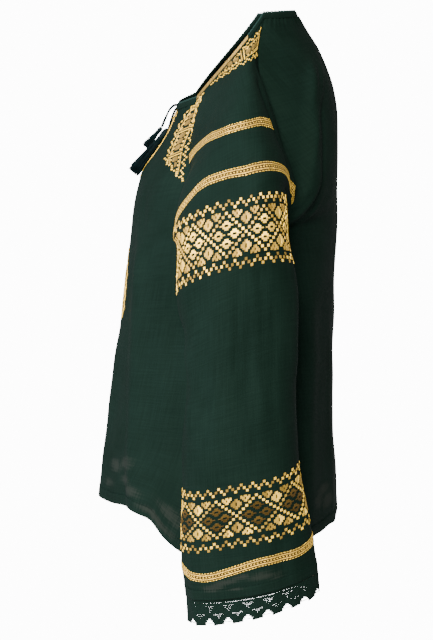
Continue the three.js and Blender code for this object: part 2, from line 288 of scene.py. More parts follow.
def makeThread(name, values):
    material, tree, shader = newMaterial(name)
    uv = addNode(tree, 'ShaderNodeUVMap', uv_map="cloth").outputs[0]
    strands = threadWaves(tree, uv, values["pitch"], 0.6, 1.0, 0.5, 'X')
    # Painted shade: the thread's tint darkens towards the shadow colour in the gaps between strands.
    strandShade = spread(tree, strands, 0.0, 0.7, 0.35, 0.0)
    colour = mixColour(tree, strandShade, attribute(tree, "tint", "Color"), values["shadow"])
    finishShader(tree, shader, colour, strands, 0.5, 0.0003, values)
    shader.inputs["Specular Tint"].default_value = values["glint"]
    shader.inputs["Metallic"].default_value = values["metallic"]
    return material


silkValues = {"dark": (0.0002, 0.0017, 0.0018, 1), "light": (0.0006, 0.0056, 0.0056, 1), "roughness": 0.6,
              "size": 0.0016, "specular": 0.03}
# The lace's inner face gets a pale painted light, as if lit from inside the sleeve.
laceValues = {"dark": (0.0010, 0.0043, 0.0028, 1), "light": (0.0026, 0.0085, 0.0057, 1), "roughness": 0.8,
              "size": 0.0011, "specular": 0.03, "worn": (0.30, 0.225, 0.165, 1)}
# The edging's colours are much lighter than the lace's: painted light, so that the edging doesn't turn black
# in its own shade.
edgingValues = {**laceValues, "dark": (0.0050, 0.0150, 0.0115, 1), "light": (0.0090, 0.0240, 0.0190, 1)}


def makeYarn(name, values):
    material, tree, shader = newMaterial(name)
    place = addNode(tree, 'ShaderNodeTexCoord').outputs["Object"]
    fibres = addNode(tree, 'ShaderNodeTexNoise', {"Vector": place, "Scale": 1 / values["size"],
                                                  "Detail": 3.0}).outputs[0]
    colour = mixColour(tree, spread(tree, fibres, 0.3, 0.7), values["dark"], values["light"])
    if "worn" in values:  # the inner face of the lace, with painted light that makes it pale
        colour = mixColour(tree, attribute(tree, "inside"), colour, values["worn"])
    finishShader(tree, shader, colour, fibres, 0.5, 0.0004, values)
    return material


linen = makeLinen("greenLinen", linenValues)
goldThread = makeThread("embroideryThread", threadValues)
silk = makeYarn("silkCord", silkValues)
crochet = makeYarn("crochetLace", laceValues)
neckYarn = makeYarn("neckEdgingYarn", edgingValues)

# The drawstring's free ends and their tassels. Each route lies where the part's cord lies.
cordValues = {
    "diameter": 3.5,
    "routes": {
        "left": [[18.7, -64.4, -60], [17.6, -64.8, -60.2], [15, -66.8, -61.9], [12.2, -69.2, -65.6],
                 [9.6, -71.4, -70.6], [7.2, -73.4, -76.4], [5.4, -75.4, -82.6], [4.3, -77.3, -88.4],
                 [4.2, -80.1, -92.2]],
        "right": [[-18.7, -64.4, -60], [-17.6, -64.7, -59.9], [-16.9, -68.2, -59.6], [-17, -72.4, -61.8],
                  [-16.8, -76.6, -67], [-16, -80.2, -74.4], [-15, -83.6, -82], [-14.4, -85.8, -87.4]],
    },
    "strandRadius": {"left": 1.15, "right": 1.2},
    "turnsPerMm": {"left": 0.17, "right": 0.012},
}
tasselValues = {
    "left": {"top": [4.2, -77.7, -89.2], "end": [3.7, -124.2, -145.9], "fullness": 1.55, "threads": 200},
    "right": {"top": [-14.3, -86.1, -88.1], "end": [-6, -107.5, -113.5], "fullness": 1.0, "threads": 80},
    "share": [0, 0.04, 0.12, 0.2, 0.26, 0.45, 0.75, 1],
    "radius": [1.6, 2.8, 3.2, 2.7, 2.3, 3.3, 4.4, 5.4],
    "headEnd": 0.27,
    "headFill": 0.93,
    "ridge": 0.05,
    "ties": 4,
    "tieAt": 0.215,
    "tiePitch": 0.016,
    "tieReach": 2.55,
    "threadRadius": 0.42,
    "threadStart": 0.24,
    "threadEnd": 0.97,
    "unevenEnds": 0.15,
    "threadFill": 0.94,
}


def makeCord(side, values):
    line = smoothLine(values["routes"][side], 8)
    ran = ranAlong(line)
    radius = values["strandRadius"][side]
    offset = values["diameter"] / 2 - radius
    parts = []
    for strand in (0, 1):
        sections = []
        for far in ran:
            turn = 2 * np.pi * (far * values["turnsPerMm"][side] + strand / 2)
            sections.append(circle(radius, 8) + offset * np.array([np.cos(turn), np.sin(turn)]))
        parts.append(tubeParts(line, sections))
    piece = meshPiece(f"drawstring{side.title()}", *joinParts(parts), material=silk)
    shadeSmooth(piece)
    register(piece, [f"drawstring_{side}"])
    return piece, line, ran[-1]


def makeTassel(side, values, seed):
    rng = np.random.default_rng(seed)
    own = values[side]
    top, end = np.array(own["top"], float), np.array(own["end"], float)
    length = np.linalg.norm(end - top)
    way = (end - top) / length
    across = unit(np.cross(way, [0, 0, 1.0]))
    other = np.cross(way, across)
    full = own["fullness"]
    parts = []
    # The wrapped head, then the ties around its neck.
    headShare = np.linspace(0, values["headEnd"], 16)
    headRadius = np.interp(headShare, values["share"], values["radius"]) * full * values["headFill"]
    headRadius *= 1 + values["ridge"] * np.sin(np.arange(16) * 2.4)
    parts.append(tubeParts(top + np.outer(headShare * length, way), [circle(r, 14) for r in headRadius]))
    ringTurn = np.linspace(0, 2 * np.pi, 19)
    ring = np.outer(np.cos(ringTurn), across) + np.outer(np.sin(ringTurn), other)
    ring *= values["tieReach"] * full
    for turn in range(values["ties"]):
        spot = top + way * length * (values["tieAt"] + values["tiePitch"] * turn)
        parts.append(tubeParts(ring + spot, [circle(values["threadRadius"], 5)] * len(ring), way))
    steps, goldenTurn = 9, 2.399963
    for i in range(own["threads"]):
        angle = goldenTurn * i
        reach = np.sqrt((i + 0.5) / own["threads"])
        sway = rng.normal(0, 1, 4)
        stop = values["threadEnd"] - values["unevenEnds"] * rng.random() ** 2
        share = np.linspace(values["threadStart"], stop, steps)
        radius = np.interp(share, values["share"], values["radius"]) * full * reach * values["threadFill"]
        out = share - values["threadStart"]
        line = (top + np.outer(share * length, way)
                + np.outer(radius * np.cos(angle + 0.5 * sway[0] * out) + sway[1] * out, across)
                + np.outer(radius * np.sin(angle + 0.5 * sway[2] * out) + sway[3] * out, other))
        parts.append(tubeParts(line, [circle(values["threadRadius"], 4)] * steps))
    piece = meshPiece(f"tassel{side.title()}", *joinParts(parts), material=silk)
    shadeSmooth(piece)
    return register(piece, [f"tassel_{side}"])


for number, side in enumerate(("left", "right")):
    cord, line, length = makeCord(side, cordValues)
    tassel = makeTassel(side, tasselValues, 11 + number)
print("stage: drawstring and tassels")

# The garment's surface, in millimetres, from the same named rows as the part.
slitTopHalf, slitBottomRow, underarmRow, hemRow, sleeveEndRow, laceEndRow = 20, 2.1, 4, 9, 12, 13
seamRows = {
    "row": [0, 1, 2, 2.5, 3, 3.6, 4, 5, 6, 7, 8, 9],
    "frontX": [67, 92, 124, 148, 168, 176, 179, 190, 198, 208, 220, 229],
    "frontY": [-43, -49, -52, -48, -27, -6, 11, 17, 18, 18, 17, 16],
    "frontZ": [-53, -84, -119, -149, -178, -191, -196, -262, -345, -430, -515, -590],
    "backX": [71, 103, 141, 164, 180, 183, 179, 190, 198, 208, 220, 229],
    "backY": [40, 31, 44, 59, 70, 44, 11, 17, 18, 18, 17, 16],
    "backZ": [49, 0, -66, -114, -158, -186, -196, -262, -345, -430, -515, -590],
}
frontRows = {
    "row": [0, 1, 2, 3, 4, 5, 6, 7, 8, 9],
    "middleY": [-66, -84, -113, -123, -127, -135, -143, -153, -163, -170],
    "middleZ": [-63, -102, -148, -192, -232, -292, -366, -440, -516, -575],
    "turn": [35, 50, 65, 74, 86, 88, 88, 88, 88, 88],
    "square": [2, 2, 2, 2.1, 2.2, 2.3, 2.4, 2.4, 2.4, 2.4],
}
backRows = {
    "row": [0, 1, 2, 3, 4, 5, 6, 7, 8, 9],
    "middleY": [86, 115, 134, 139, 138, 135, 134, 135, 138, 141],
    "middleZ": [51, 9, -40, -105, -190, -270, -352, -432, -512, -586],
    "turn": [60, 62, 66, 74, 86, 88, 88, 88, 88, 88],
    "square": [2, 2, 2.1, 2.2, 2.3, 2.4, 2.4, 2.4, 2.4, 2.4],
}
sleeveRows = {
    "row": [0, 1, 2, 3, 4, 5, 6, 7, 8, 9, 10, 11, 12, 13],
    "topX": [98, 150, 216, 262, 292, 312, 320, 325, 329, 333, 336, 338, 338, 339],
    "topY": [-3, 0, 5, 5, 7, 6, 6, 5, 6, 8, 11, 15, 18, 19],
    "topZ": [-4, -25, -64, -109, -149, -216, -277, -338, -399, -460, -510, -556, -589, -617],
    "innerX": [0, 0, 0, 0, 179, 203, 213, 221, 227, 233, 238, 242, 243, 243],
    "innerY": [0, 0, 0, 0, 11, 4, 1, -2, -2, 0, 4, 8, 11, 12],
    "innerZ": [0, 0, 0, 0, -196, -262, -314, -366, -418, -472, -516, -558, -588, -614],
    "turn": [70, 85, 115, 150, 180, 180, 180, 180, 180, 180, 180, 180, 180, 180],
    "frontSpread": [10, 12, 16, 74, 75, 72, 61, 58, 63, 66, 71, 75, 74, 73],
    "frontDrop": [0, 0, -12, 50, 32, 27, 24, 21, 18, 16, 14, 14, 16, 19],
    "backSpread": [10, 20, 34, 24, 47, 55, 63, 65, 66, 67, 72, 76, 77, 77],
    "backRise": [0, 0, -8, 26, 29, 25, 22, 19, 17, 15, 13, 13, 15, 17],
}
hemRise = {
    "across": [-1, -0.75, -0.55, -0.38, -0.24, -0.12, 0, 0.13, 0.25, 0.33, 0.41, 0.5, 0.6, 0.68, 0.78, 1],
    "front": [2, 4, 20, 30, 32, 20, 2, 24, 29, 34, 40, 44, 41, 20, 5, 5],
    "back": [6, 10, 17, 14, 20, 17, 18, 15, 20, 17, 19, 18, 20, 17, 12, 6],
}
hemRiseStart = 7
# The part's largest folds, then the smaller ones that only show up close. Each fold has its place
# across at both ends, its first and last row, its width and its depth.
folds = {
    "front": [
        (0.28, 0.53, 3.2, 9, 0.075, 9), (0.1, 0.18, 5.4, 9, 0.06, 5), (-0.3, -0.5, 3.6, 9, 0.08, 8),
        (-0.12, -0.2, 5.8, 9, 0.06, 5), (0.62, 0.8, 4.6, 9, 0.08, -6), (-0.66, -0.82, 4.4, 9, 0.08, -6),
    ],
    "back": [
        (0.95, 0.42, 3.4, 1, 0.07, 6), (0.97, 0.62, 4.3, 2.1, 0.07, 5), (-0.95, -0.45, 3.3, 0.9, 0.07, 6),
        (-0.96, -0.6, 4.4, 2.3, 0.07, 5), (0.12, 0.2, 0.6, 4.2, 0.1, -4), (-0.2, -0.26, 1, 4.6, 0.09, -4),
        (0.6, 0.66, 4.6, 9, 0.09, 6), (-0.6, -0.7, 4.8, 9, 0.1, 6),
    ],
    "sleeve": [
        (0.62, 0.72, 1.2, 3.4, 0.08, -7), (-0.62, -0.42, 5.2, 7.4, 0.07, -7),
        (-0.5, -0.34, 5.6, 8.2, 0.07, 4), (0.35, 0.42, 9.4, 13, 0.09, 2.5),
        (-0.1, -0.16, 9.2, 13, 0.09, -2.5),
    ],
}
smallFolds = {
    "front": [
        (0.86, 0.5, 3.5, 5.6, 0.035, 1.6), (-0.88, -0.55, 3.4, 5.4, 0.035, 1.6),
        (0.9, 0.72, 4.4, 6.8, 0.03, -1.6), (-0.9, -0.74, 4.3, 6.4, 0.03, -1.4),
        (0.36, 0.44, 6.4, 9, 0.03, -2), (-0.36, -0.42, 6, 9, 0.03, -2), (0.02, -0.04, 6.8, 9, 0.035, 2),
        (0.4, 0.3, 2.2, 4.4, 0.05, -1.5), (-0.42, -0.3, 2.2, 4.4, 0.05, -1.5),
    ],
    "back": [
        (0.9, 0.28, 3.0, 1.2, 0.035, 2.2), (-0.9, -0.3, 2.9, 1.1, 0.035, 2.2),
        (0.8, 0.5, 3.7, 1.9, 0.03, -1.8), (-0.82, -0.5, 3.6, 1.8, 0.03, -1.8),
        (0.84, 0.6, 5.2, 3.2, 0.035, 2), (-0.84, -0.62, 5.3, 3.4, 0.035, 2),
        (0.3, 0.36, 5.2, 9, 0.05, 2.2), (-0.36, -0.3, 5.4, 9, 0.05, 2.2), (0.0, 0.05, 4.4, 9, 0.05, -2),
        (0.85, 0.8, 6, 9, 0.04, -2), (-0.86, -0.8, 6, 9, 0.04, -2),
    ],
    "sleeve": [
        (-0.03, -0.05, 4.9, 7.2, 0.028, -1.4), (0.05, 0.1, 4.9, 8.4, 0.035, 1.6),
        (0.2, 0.16, 5.2, 8.8, 0.035, -1.2), (-0.2, -0.16, 5.4, 8.6, 0.04, 1.2),
        (0.55, 0.5, 4.4, 7.6, 0.05, -2.4), (-0.8, -0.7, 4.6, 8.8, 0.05, 2.4),
        (0.8, 0.74, 5, 9.6, 0.05, 2.4), (-0.3, -0.36, 9.2, 13, 0.04, 1.6),
        (0.14, 0.18, 9.8, 13, 0.04, -1.4), (-0.6, -0.55, 8.8, 13, 0.05, -2.2),
        (0.62, 0.66, 8.6, 13, 0.05, -2.2), (0.86, 0.84, 9, 13, 0.04, 2), (0.86, 0.8, 2.3, 3.9, 0.04, 2.2),
        (0.7, 0.9, 0.9, 2.4, 0.05, 1.4), (0.08, 0.04, 4.7, 8.0, 0.11, -5), (0.42, 0.4, 4.6, 7.6, 0.1, 3),
    ],
}
foldFade = 0.25


def along(table, column, at, key="row"):
    places, heights = np.array(table[key], float), np.array(table[column], float)
    at = np.clip(at, places[0], places[-1])
    gap = np.diff(places)
    slope = np.diff(heights) / gap
    tangent = np.zeros_like(heights)
    tangent[0], tangent[-1] = slope[0], slope[-1]
    for k in range(1, len(heights) - 1):
        before, after = slope[k - 1], slope[k]
        if before * after > 0:
            weight = (2 * gap[k] + gap[k - 1]) / before + (gap[k] + 2 * gap[k - 1]) / after
            tangent[k] = 3 * (gap[k - 1] + gap[k]) / weight
    i = np.clip(np.searchsorted(places, at) - 1, 0, len(gap) - 1)
    x = (at - places[i]) / gap[i]
    return ((2 * x ** 3 - 3 * x ** 2 + 1) * heights[i] + (x ** 3 - 2 * x ** 2 + x) * gap[i] * tangent[i]
            + (3 * x ** 2 - 2 * x ** 3) * heights[i + 1] + (x ** 3 - x ** 2) * gap[i] * tangent[i + 1])


def pointFrom(table, name, row):
    return np.stack([along(table, name + axis, row) for axis in "XYZ"], -1)


def panelPoint(side, across, row):
    table = frontRows if side == "front" else backRows
    low = pointFrom(seamRows, "front", row)
    edge = np.where((row < underarmRow)[..., None], pointFrom(seamRows, side, row), low)
    turn = np.radians(along(table, "turn", row))
    power = 2 / along(table, "square", row)
    share = np.abs(across)
    outwards = np.sin(share * turn) ** power / np.sin(turn) ** power
    endDepth = np.cos(turn) ** power
    depth = (np.cos(share * turn) ** power - endDepth) / (1 - endDepth)
    opening = np.where(row < slitBottomRow, slitTopHalf * (1 - row / slitBottomRow), 0) * (side == "front")
    x = opening + (edge[..., 0] - opening) * outwards
    y = edge[..., 1] + (along(table, "middleY", row) - edge[..., 1]) * depth
    z = lerp(along(table, "middleZ", row), edge[..., 2], outwards ** 2)
    drawnUp = along(hemRise, side, across, "across") * smooth((row - hemRiseStart) / (hemRow - hemRiseStart))
    return np.stack([np.where(across < 0, -x, x), y, z + drawnUp], -1)


def sleevePoint(across, row):
    top, underarm = pointFrom(sleeveRows, "top", row), pointFrom(sleeveRows, "inner", row)
    high = (row < underarmRow)[..., None]
    frontEnd = np.where(high, pointFrom(seamRows, "front", row), underarm)
    backEnd = np.where(high, pointFrom(seamRows, "back", row), underarm)
    turn = np.radians(along(sleeveRows, "turn", row))
    arch = (np.cos(across * turn) - np.cos(turn)) / (1 - np.cos(turn))
    bulge = np.sin(across * turn) - across * np.sin(turn)
    ahead = across < 0
    spreadOut = np.where(ahead, along(sleeveRows, "frontSpread", row), along(sleeveRows, "backSpread", row))
    rise = np.where(ahead, along(sleeveRows, "frontDrop", row), along(sleeveRows, "backRise", row))
    middle = (frontEnd + backEnd) / 2
    return (middle + (top - middle) * arch[..., None] + (backEnd - frontEnd) * (across / 2)[..., None]
            + np.stack([0 * across, spreadOut * bulge, rise * bulge], -1))


def formPoint(form, across, row):
    return sleevePoint(across, row) if form == "sleeve" else panelPoint(form, across, row)


def foldHeight(form, across, row, freeRow):
    height = np.zeros_like(across)
    for start, stop, fromRow, toRow, width, depth in folds[form] + smallFolds[form]:
        share = (row - fromRow) / (toRow - fromRow)
        inside = (share > 0) & (share <= 1)
        line = lerp(start, stop, share)
        endFade = 1 if toRow == freeRow else smooth((1 - share) / foldFade)
        away = (across - line) / width
        height += inside * depth * np.exp(-away * away) * smooth(share / foldFade) * endFade
    return height


clothValues = {
    "wall": 1.2,
    "seamDip": 0.8,
    "seamWidth": 1.5,
    "seamReach": 0.5,
    "puckerHeight": 0.15,
    "puckerLength": 1.6,
    "puckerWidth": 6,
    "gatherHeight": 0.75,
    "gatherPitch": 6.2,
    "gatherReach": 13,
    "hemWidth": 13,
    "hemStep": 0.35,
    "hemGroove": 0.4,
    "crumple": 0.9,
    "edgeFade": 0.12,
}


# Soft unevenness of linen: waves in many directions, seeded, over places in millimetres.
def crumple(places, seed):
    rng = np.random.default_rng(seed)
    total = np.zeros(places.shape[:-1])
    for i in range(22):
        way = unit(rng.normal(0, 1, 3) * [1, 1, 0.55])
        pitch = 28 * 1.11 ** i
        total += (pitch / 120) ** 0.7 * np.sin(places @ way * 2 * np.pi / pitch + rng.uniform(0, 6.28))
    return total / 3


def rowsOf(form, end, fine, coarse):
    probe = np.linspace(0.0, end, 2000)
    ran = ranAlong(formPoint(form, np.full_like(probe, 0.3), probe))
    marks, far = [0.0], 0.0
    while far < ran[-1]:
        nearEnd = min(far, ran[-1] - far)
        far += fine if nearEnd < 18 else coarse
        marks.append(min(far, ran[-1]))
    if marks[-1] - marks[-2] < fine / 2:
        marks.pop(-2)
    return np.interp(marks, ran, probe)


def acrossOf(low, high, count, reach=0.012):
    inner = np.linspace(low, high, count + 1)
    extra = [low + reach / 3, low + reach, high - reach, high - reach / 3]
    return np.unique(np.concatenate([inner, extra]).round(6))


# Outwards at a seam, from the place alone, so that both pieces of cloth dip together there.
def seamWay(form, places, row):
    side = np.where(places[..., 0] < 0, -1.0, 1.0)
    level = np.zeros_like(side)
    raglan = unit(np.stack([0.5 * places[..., 0], places[..., 1] - 15, level + 50], -1))
    below = np.stack([-side, level, level - 0.2] if form == "sleeve" else [side, level, level], -1)
    return unit(lerp(raglan, below, smooth((row - underarmRow) / 0.6)[..., None]))


def outwardsOf(places, facing):
    return unit(np.cross(np.gradient(places, axis=1), np.gradient(places, axis=0))) * facing


# Gathers below the neck, uneven in size and spacing.
def gathers(ranAcross, ranDown, seed, values):
    rng = np.random.default_rng(seed)
    width = ranAcross[-1]
    wander = np.interp(ranAcross, np.linspace(0, width, 40), rng.normal(0, 1.1, 40))
    size = np.interp(ranAcross, np.linspace(0, width, 25), rng.uniform(0.5, 1.2, 25))
    waves = values["gatherHeight"] * size * np.sin(2 * np.pi * ranAcross / values["gatherPitch"] + wander)
    return waves * np.exp(-(ranDown / values["gatherReach"]) ** 2)


# How the cloth sinks at its seams, puckers along them, and reaches sideways to close them.
def seamShape(ranAcross, ranDown, edges, values):
    dip, reach = np.zeros_like(ranDown), np.zeros_like(ranDown)
    for edge in edges:
        fromEdge = ranAcross if edge < 0 else ranAcross[:, -1:] - ranAcross
        near = np.exp(-(fromEdge / values["seamWidth"]) ** 2)
        pucker = np.sin(ranDown / values["puckerLength"]) * np.exp(-(fromEdge / values["puckerWidth"]) ** 2)
        dip += values["puckerHeight"] * pucker - values["seamDip"] * near
        reach += edge * values["seamReach"] * near
    return dip[..., None], reach[..., None]


def dressHalf(form, across, rows, freeRow, seed, mirrored, values, seamEdges):
    acrossGrid, rowGrid = np.meshgrid(across, rows)
    places = formPoint(form, acrossGrid, rowGrid)
    facing = 1 if form == "back" else -1
    outward = outwardsOf(places, facing)
    ranDown, ranAcross = ranAlong(places), ranAlong(places, 1)
    height = foldHeight(form, acrossGrid, rowGrid, freeRow)
    height += values["crumple"] * crumple(places * [-1 if mirrored else 1, 1, 1], seed)
    height += gathers(ranAcross[0], ranDown, seed + 5, values)
    height *= smooth((1 - np.abs(acrossGrid)) / values["edgeFade"])
    if freeRow != laceEndRow:
        pastHem = ranDown[-1] - ranDown - values["hemWidth"]
        height += values["hemStep"] * (pastHem < 0) - values["hemGroove"] * np.exp(-(pastHem / 1.1) ** 2)
    dip, reach = seamShape(ranAcross, ranDown, seamEdges, values)
    sideways = unit(np.gradient(places, axis=1))
    places = places + outward * height[..., None] + seamWay(form, places, rowGrid) * dip + sideways * reach
    middle = np.argmin(np.abs(across))
    down = np.broadcast_to(ranDown[:, middle:middle + 1], ranDown.shape)
    uv = np.stack([ranAcross - ranAcross[:, middle:middle + 1], down], -1)
    return {"across": across, "rows": rows, "places": places, "normals": outwardsOf(places, facing),
            "uv": uv, "acrossGrid": acrossGrid, "rowGrid": rowGrid}


# Patches of painted light: places where the cloth is drawn paler, as if light shone through it there.
sheerLightPatches = {
    "front": [
        (0.304, 8.0, 0.08, 0.25), (0.273, 8.53, 0.07, 0.18), (0.424, 7.86, 0.08, 0.22),
        (0.437, 8.35, 0.06, 0.2), (0.497, 8.59, 0.06, 0.15), (0.644, 8.84, 0.09, 0.1),
        (0.69, 8.5, 0.07, 0.2), (-0.35, 8.0, 0.14, 0.3), (-0.66, 8.5, 0.1, 0.22),
    ],
    "back": [
        (0.424, 8.52, 0.08, 0.2), (0.536, 8.39, 0.08, 0.2), (0.487, 8.24, 0.1, 0.12),
        (-0.5, 8.5, 0.16, 0.2), (-0.05, 8.6, 0.12, 0.16),
    ],
    "sleeve": [
        (-0.205, 11.56, 0.07, 0.12), (-0.136, 11.37, 0.07, 0.12), (-0.055, 11.27, 0.05, 0.09),
        (0.04, 11.32, 0.08, 0.12), (0.119, 11.45, 0.05, 0.1), (-0.091, 11.64, 0.05, 0.07),
        (0.62, 11.5, 0.2, 0.2), (-0.66, 11.5, 0.16, 0.2),
    ],
}


def paintedSheerLight(form, acrossGrid, rowGrid):
    total = np.zeros_like(acrossGrid)
    for across, row, wide, tall in sheerLightPatches[form]:
        away = ((acrossGrid - across) / wide) ** 2 + ((rowGrid - row) / tall) ** 2
        total = np.maximum(total, np.exp(-away))
    return total


def gridFaces(rowCount, columnCount, flip, skip=None):
    faces = []
    for r in range(rowCount - 1):
        for c in range(columnCount - 1):
            if c == skip:
                continue
            a = r * columnCount + c
            quad = (a, a + 1, a + 1 + columnCount, a + columnCount)
            faces.append(quad[::-1] if flip else quad)
    return faces


def dressPanel(form, seed, columns, values):
    rows = rowsOf(form, hemRow, 1.7, 4.6)
    if form == "back":
        return dressHalf(form, acrossOf(-1, 1, columns), rows, hemRow, seed, False, values, (-1, 1))
    right = dressHalf(form, acrossOf(-1, -1e-6, columns // 2), rows, hemRow, seed, False, values, (-1,))
    left = dressHalf(form, acrossOf(1e-6, 1, columns // 2), rows, hemRow, seed, False, values, (1,))
    closed = rows >= slitBottomRow
    for key in ("places", "normals"):
        middle = (right[key][:, -1] + left[key][:, 0]) / 2
        right[key][closed, -1] = left[key][closed, 0] = middle[closed]
    joined = {key: np.concatenate([right[key], left[key]], axis=0 if key == "across" else 1)
              for key in ("across", "places", "normals", "acrossGrid", "rowGrid")}
    # The halves' own widths run from the middle outwards, so the weave goes straight through.
    right["uv"][..., 0] -= right["uv"][:, -1:, 0]
    left["uv"][..., 0] -= left["uv"][:, :1, 0]
    return {**joined, "rows": rows, "uv": np.concatenate([right["uv"], left["uv"]], axis=1)}


def makeCloth(name, form, cloth, mirrored, values, node, material):
    rowCount, columnCount = cloth["places"].shape[:2]
    places = cloth["places"].reshape(-1, 3) * [-1 if mirrored else 1, 1, 1]
    skip = int(np.argmin(np.abs(cloth["across"] + 1e-6))) if form == "front" else None
    faces = gridFaces(rowCount, columnCount, (form == "back") == mirrored, skip)
    # The painted light through thin cloth, stored on the points.
    litThrough = paintedSheerLight(form, cloth["acrossGrid"], cloth["rowGrid"])
    piece = meshPiece(name, places, faces, cloth["uv"].reshape(-1, 2), values={"sheerLight": litThrough},
                      material=material)
    if skip is not None:
        closeBelowSlit(piece, cloth, skip, columnCount)
    useModifier(piece, 'SOLIDIFY', thickness=values["wall"] / 1000, offset=-1.0, use_even_offset=False)
    shadeSmooth(piece)
    return register(piece, [node])


def closeBelowSlit(piece, cloth, skip, columnCount):
    shape = bmesh.new()
    shape.from_mesh(piece.data)
    shape.verts.ensure_lookup_table()
    targets = {}
    for r, row in enumerate(cloth["rows"]):
        if row >= slitBottomRow:
            targets[shape.verts[r * columnCount + skip]] = shape.verts[r * columnCount + skip + 1]
    bmesh.ops.weld_verts(shape, targetmap=targets)
    shape.to_mesh(piece.data)
    shape.free()


cloths = {
    "front": dressPanel("front", 21, 124, clothValues),
    "back": dressPanel("back", 22, 120, clothValues),
}
sleeveLines = acrossOf(-1, 1, 136, 0.008)
for side, seed in (("left", 23), ("right", 24)):
    cloths["sleeve" + side.title()] = dressHalf(
        "sleeve", sleeveLines, rowsOf("sleeve", sleeveEndRow, 1.7, 4.4), sleeveEndRow, seed, side == "right",
        clothValues, (-1, 1))

frontPiece = makeCloth("frontCloth", "front", cloths["front"], False, clothValues, "front", linen)
backPiece = makeCloth("backCloth", "back", cloths["back"], False, clothValues, "back", linen)
for side in ("left", "right"):
    makeCloth(f"{side}SleeveCloth", "sleeve", cloths["sleeve" + side.title()],
                                   side == "right", clothValues, f"sleeve_{side}", linen)
print("stage: cloth")


# The stretch between two marks that a place lies in, and its share of that stretch.
def cellOf(marks, at):
    i = np.clip(np.searchsorted(marks, at) - 1, 0, len(marks) - 2)
    return i, np.clip((at - marks[i]) / (marks[i + 1] - marks[i]), 0, 1)


# A place on the dressed cloth, raised above it, from across, row and height.
def onCloth(key, across, row, rise):
    cloth = cloths[key]
    i, down = cellOf(cloth["rows"], row)
    j, over = cellOf(cloth["across"], across)

    def blend(grid):
        upper = lerp(grid[i, j], grid[i, j + 1], over[:, None])
        lower = lerp(grid[i + 1, j], grid[i + 1, j + 1], over[:, None])
        return lerp(upper, lower, down[:, None])

    return blend(cloth["places"]) + unit(blend(cloth["normals"])) * np.asarray(rise, float).reshape(-1, 1)


# A band's own flat measure: u along a line of the cloth and v down from it, in millimetres.
def bandMeasure(key, lineAcross, lineRow, fromAcross=-0.999, toAcross=0.999, sign=1):
    across = np.linspace(fromAcross, toAcross, 260)
    row = np.interp(across, lineAcross, lineRow)
    for _ in range(6):
        row[1:-1] = (row[:-2] + 2 * row[1:-1] + row[2:]) / 4
    line = onCloth(key, sign * across, row, np.zeros_like(row))
    ranU = ranAlong(line)
    rows = np.linspace(cloths[key]["rows"][0], cloths[key]["rows"][-1], 400)
    columns = []
    for a, r in zip(across, row):
        places = onCloth(key, np.full_like(rows, sign * a), rows, np.zeros_like(rows))
        ranV = ranAlong(places)
        columns.append(ranV - np.interp(r, rows, ranV))
    return {"key": key, "across": across, "ranU": ranU, "rows": rows, "ranV": np.array(columns),
            "sign": sign}


# The measure beside an edge of a piece: u is the distance in from the edge, v runs down it.
def edgeMeasure(key, edge, inwards, sign=1, toRow=4.0):
    rows = np.linspace(0.0, toRow, 400)
    places = onCloth(key, np.full_like(rows, sign * edge), rows, np.zeros_like(rows))
    near = onCloth(key, np.full_like(rows, sign * (edge + inwards * 0.2)), rows, np.zeros_like(rows))
    ranV = ranAlong(places)
    return {"key": key, "edge": edge, "inwards": inwards, "sign": sign, "rows": rows, "ranV": ranV,
            "pace": np.linalg.norm(near - places, axis=1) / 0.2}


def onBand(band, u, v, rise):
    if "edge" in band:
        row = np.interp(v, band["ranV"], band["rows"])
        across = band["edge"] + band["inwards"] * u / np.interp(row, band["rows"], band["pace"])
        return onCloth(band["key"], band["sign"] * across, row, rise)
    across = np.interp(u, band["ranU"], band["across"])
    i, share = cellOf(band["ranU"], u)
    row = np.empty_like(across)
    for k in range(len(across)):
        column = lerp(band["ranV"][i[k]], band["ranV"][i[k] + 1], share[k])
        row[k] = np.interp(v[k], column, band["rows"])
    return onCloth(band["key"], band["sign"] * across, row, rise)


# Stitched shapes. Each is an outline in a band's measure with its thread's colour and way.
threadColours = {
    "cream": (0.86, 0.575, 0.070),
    "gold": (0.40, 0.258, 0.036),
    "tan": (0.19, 0.122, 0.020),
    "bronze": (0.062, 0.038, 0.007),
    "satin": (0.52, 0.342, 0.055),
    "olive": (0.22, 0.150, 0.034),
    "brown": (0.010, 0.0055, 0.0045),
    "green": (0.0026, 0.0110, 0.0078),
}
stitchValues = {"sink": -0.4, "shoulder": 0.4, "top": 0.62, "inset": 0.16}


def box(wide, tall):
    return np.array([[-wide, -tall], [wide, -tall], [wide, tall], [-wide, tall]]) / 2


def addShape(shapes, outline, colour, spot, size=(1, 1), shade=1.0, way=0.0, lift=0.0):
    shapes.append((np.asarray(outline, float) * size + spot, colour, way, shade, lift))


def addBox(shapes, wide, tall, colour, u, v, **others):
    addShape(shapes, box(wide, tall), colour, (u, v), **others)


def moved(shapes, place):
    return [(place(points[:, 0], points[:, 1]), *others) for points, *others in shapes]


worked = {key: [] for key in cloths}


# The outline of a stitch's top, drawn in from its sides.
def topOutline(points, middle, inset):
    before = unit(points - np.roll(points, 1, axis=0))
    after = np.roll(before, -1, axis=0)
    inwards = unit(np.stack([-(before + after)[:, 1], (before + after)[:, 0]], -1))
    lean = inset / np.maximum(np.abs((before * after).sum(1) + 1) / 2, 0.35) ** 0.5
    room = 0.42 * np.linalg.norm(points - middle, axis=1)
    return points + inwards * np.minimum(lean, room)[:, None]


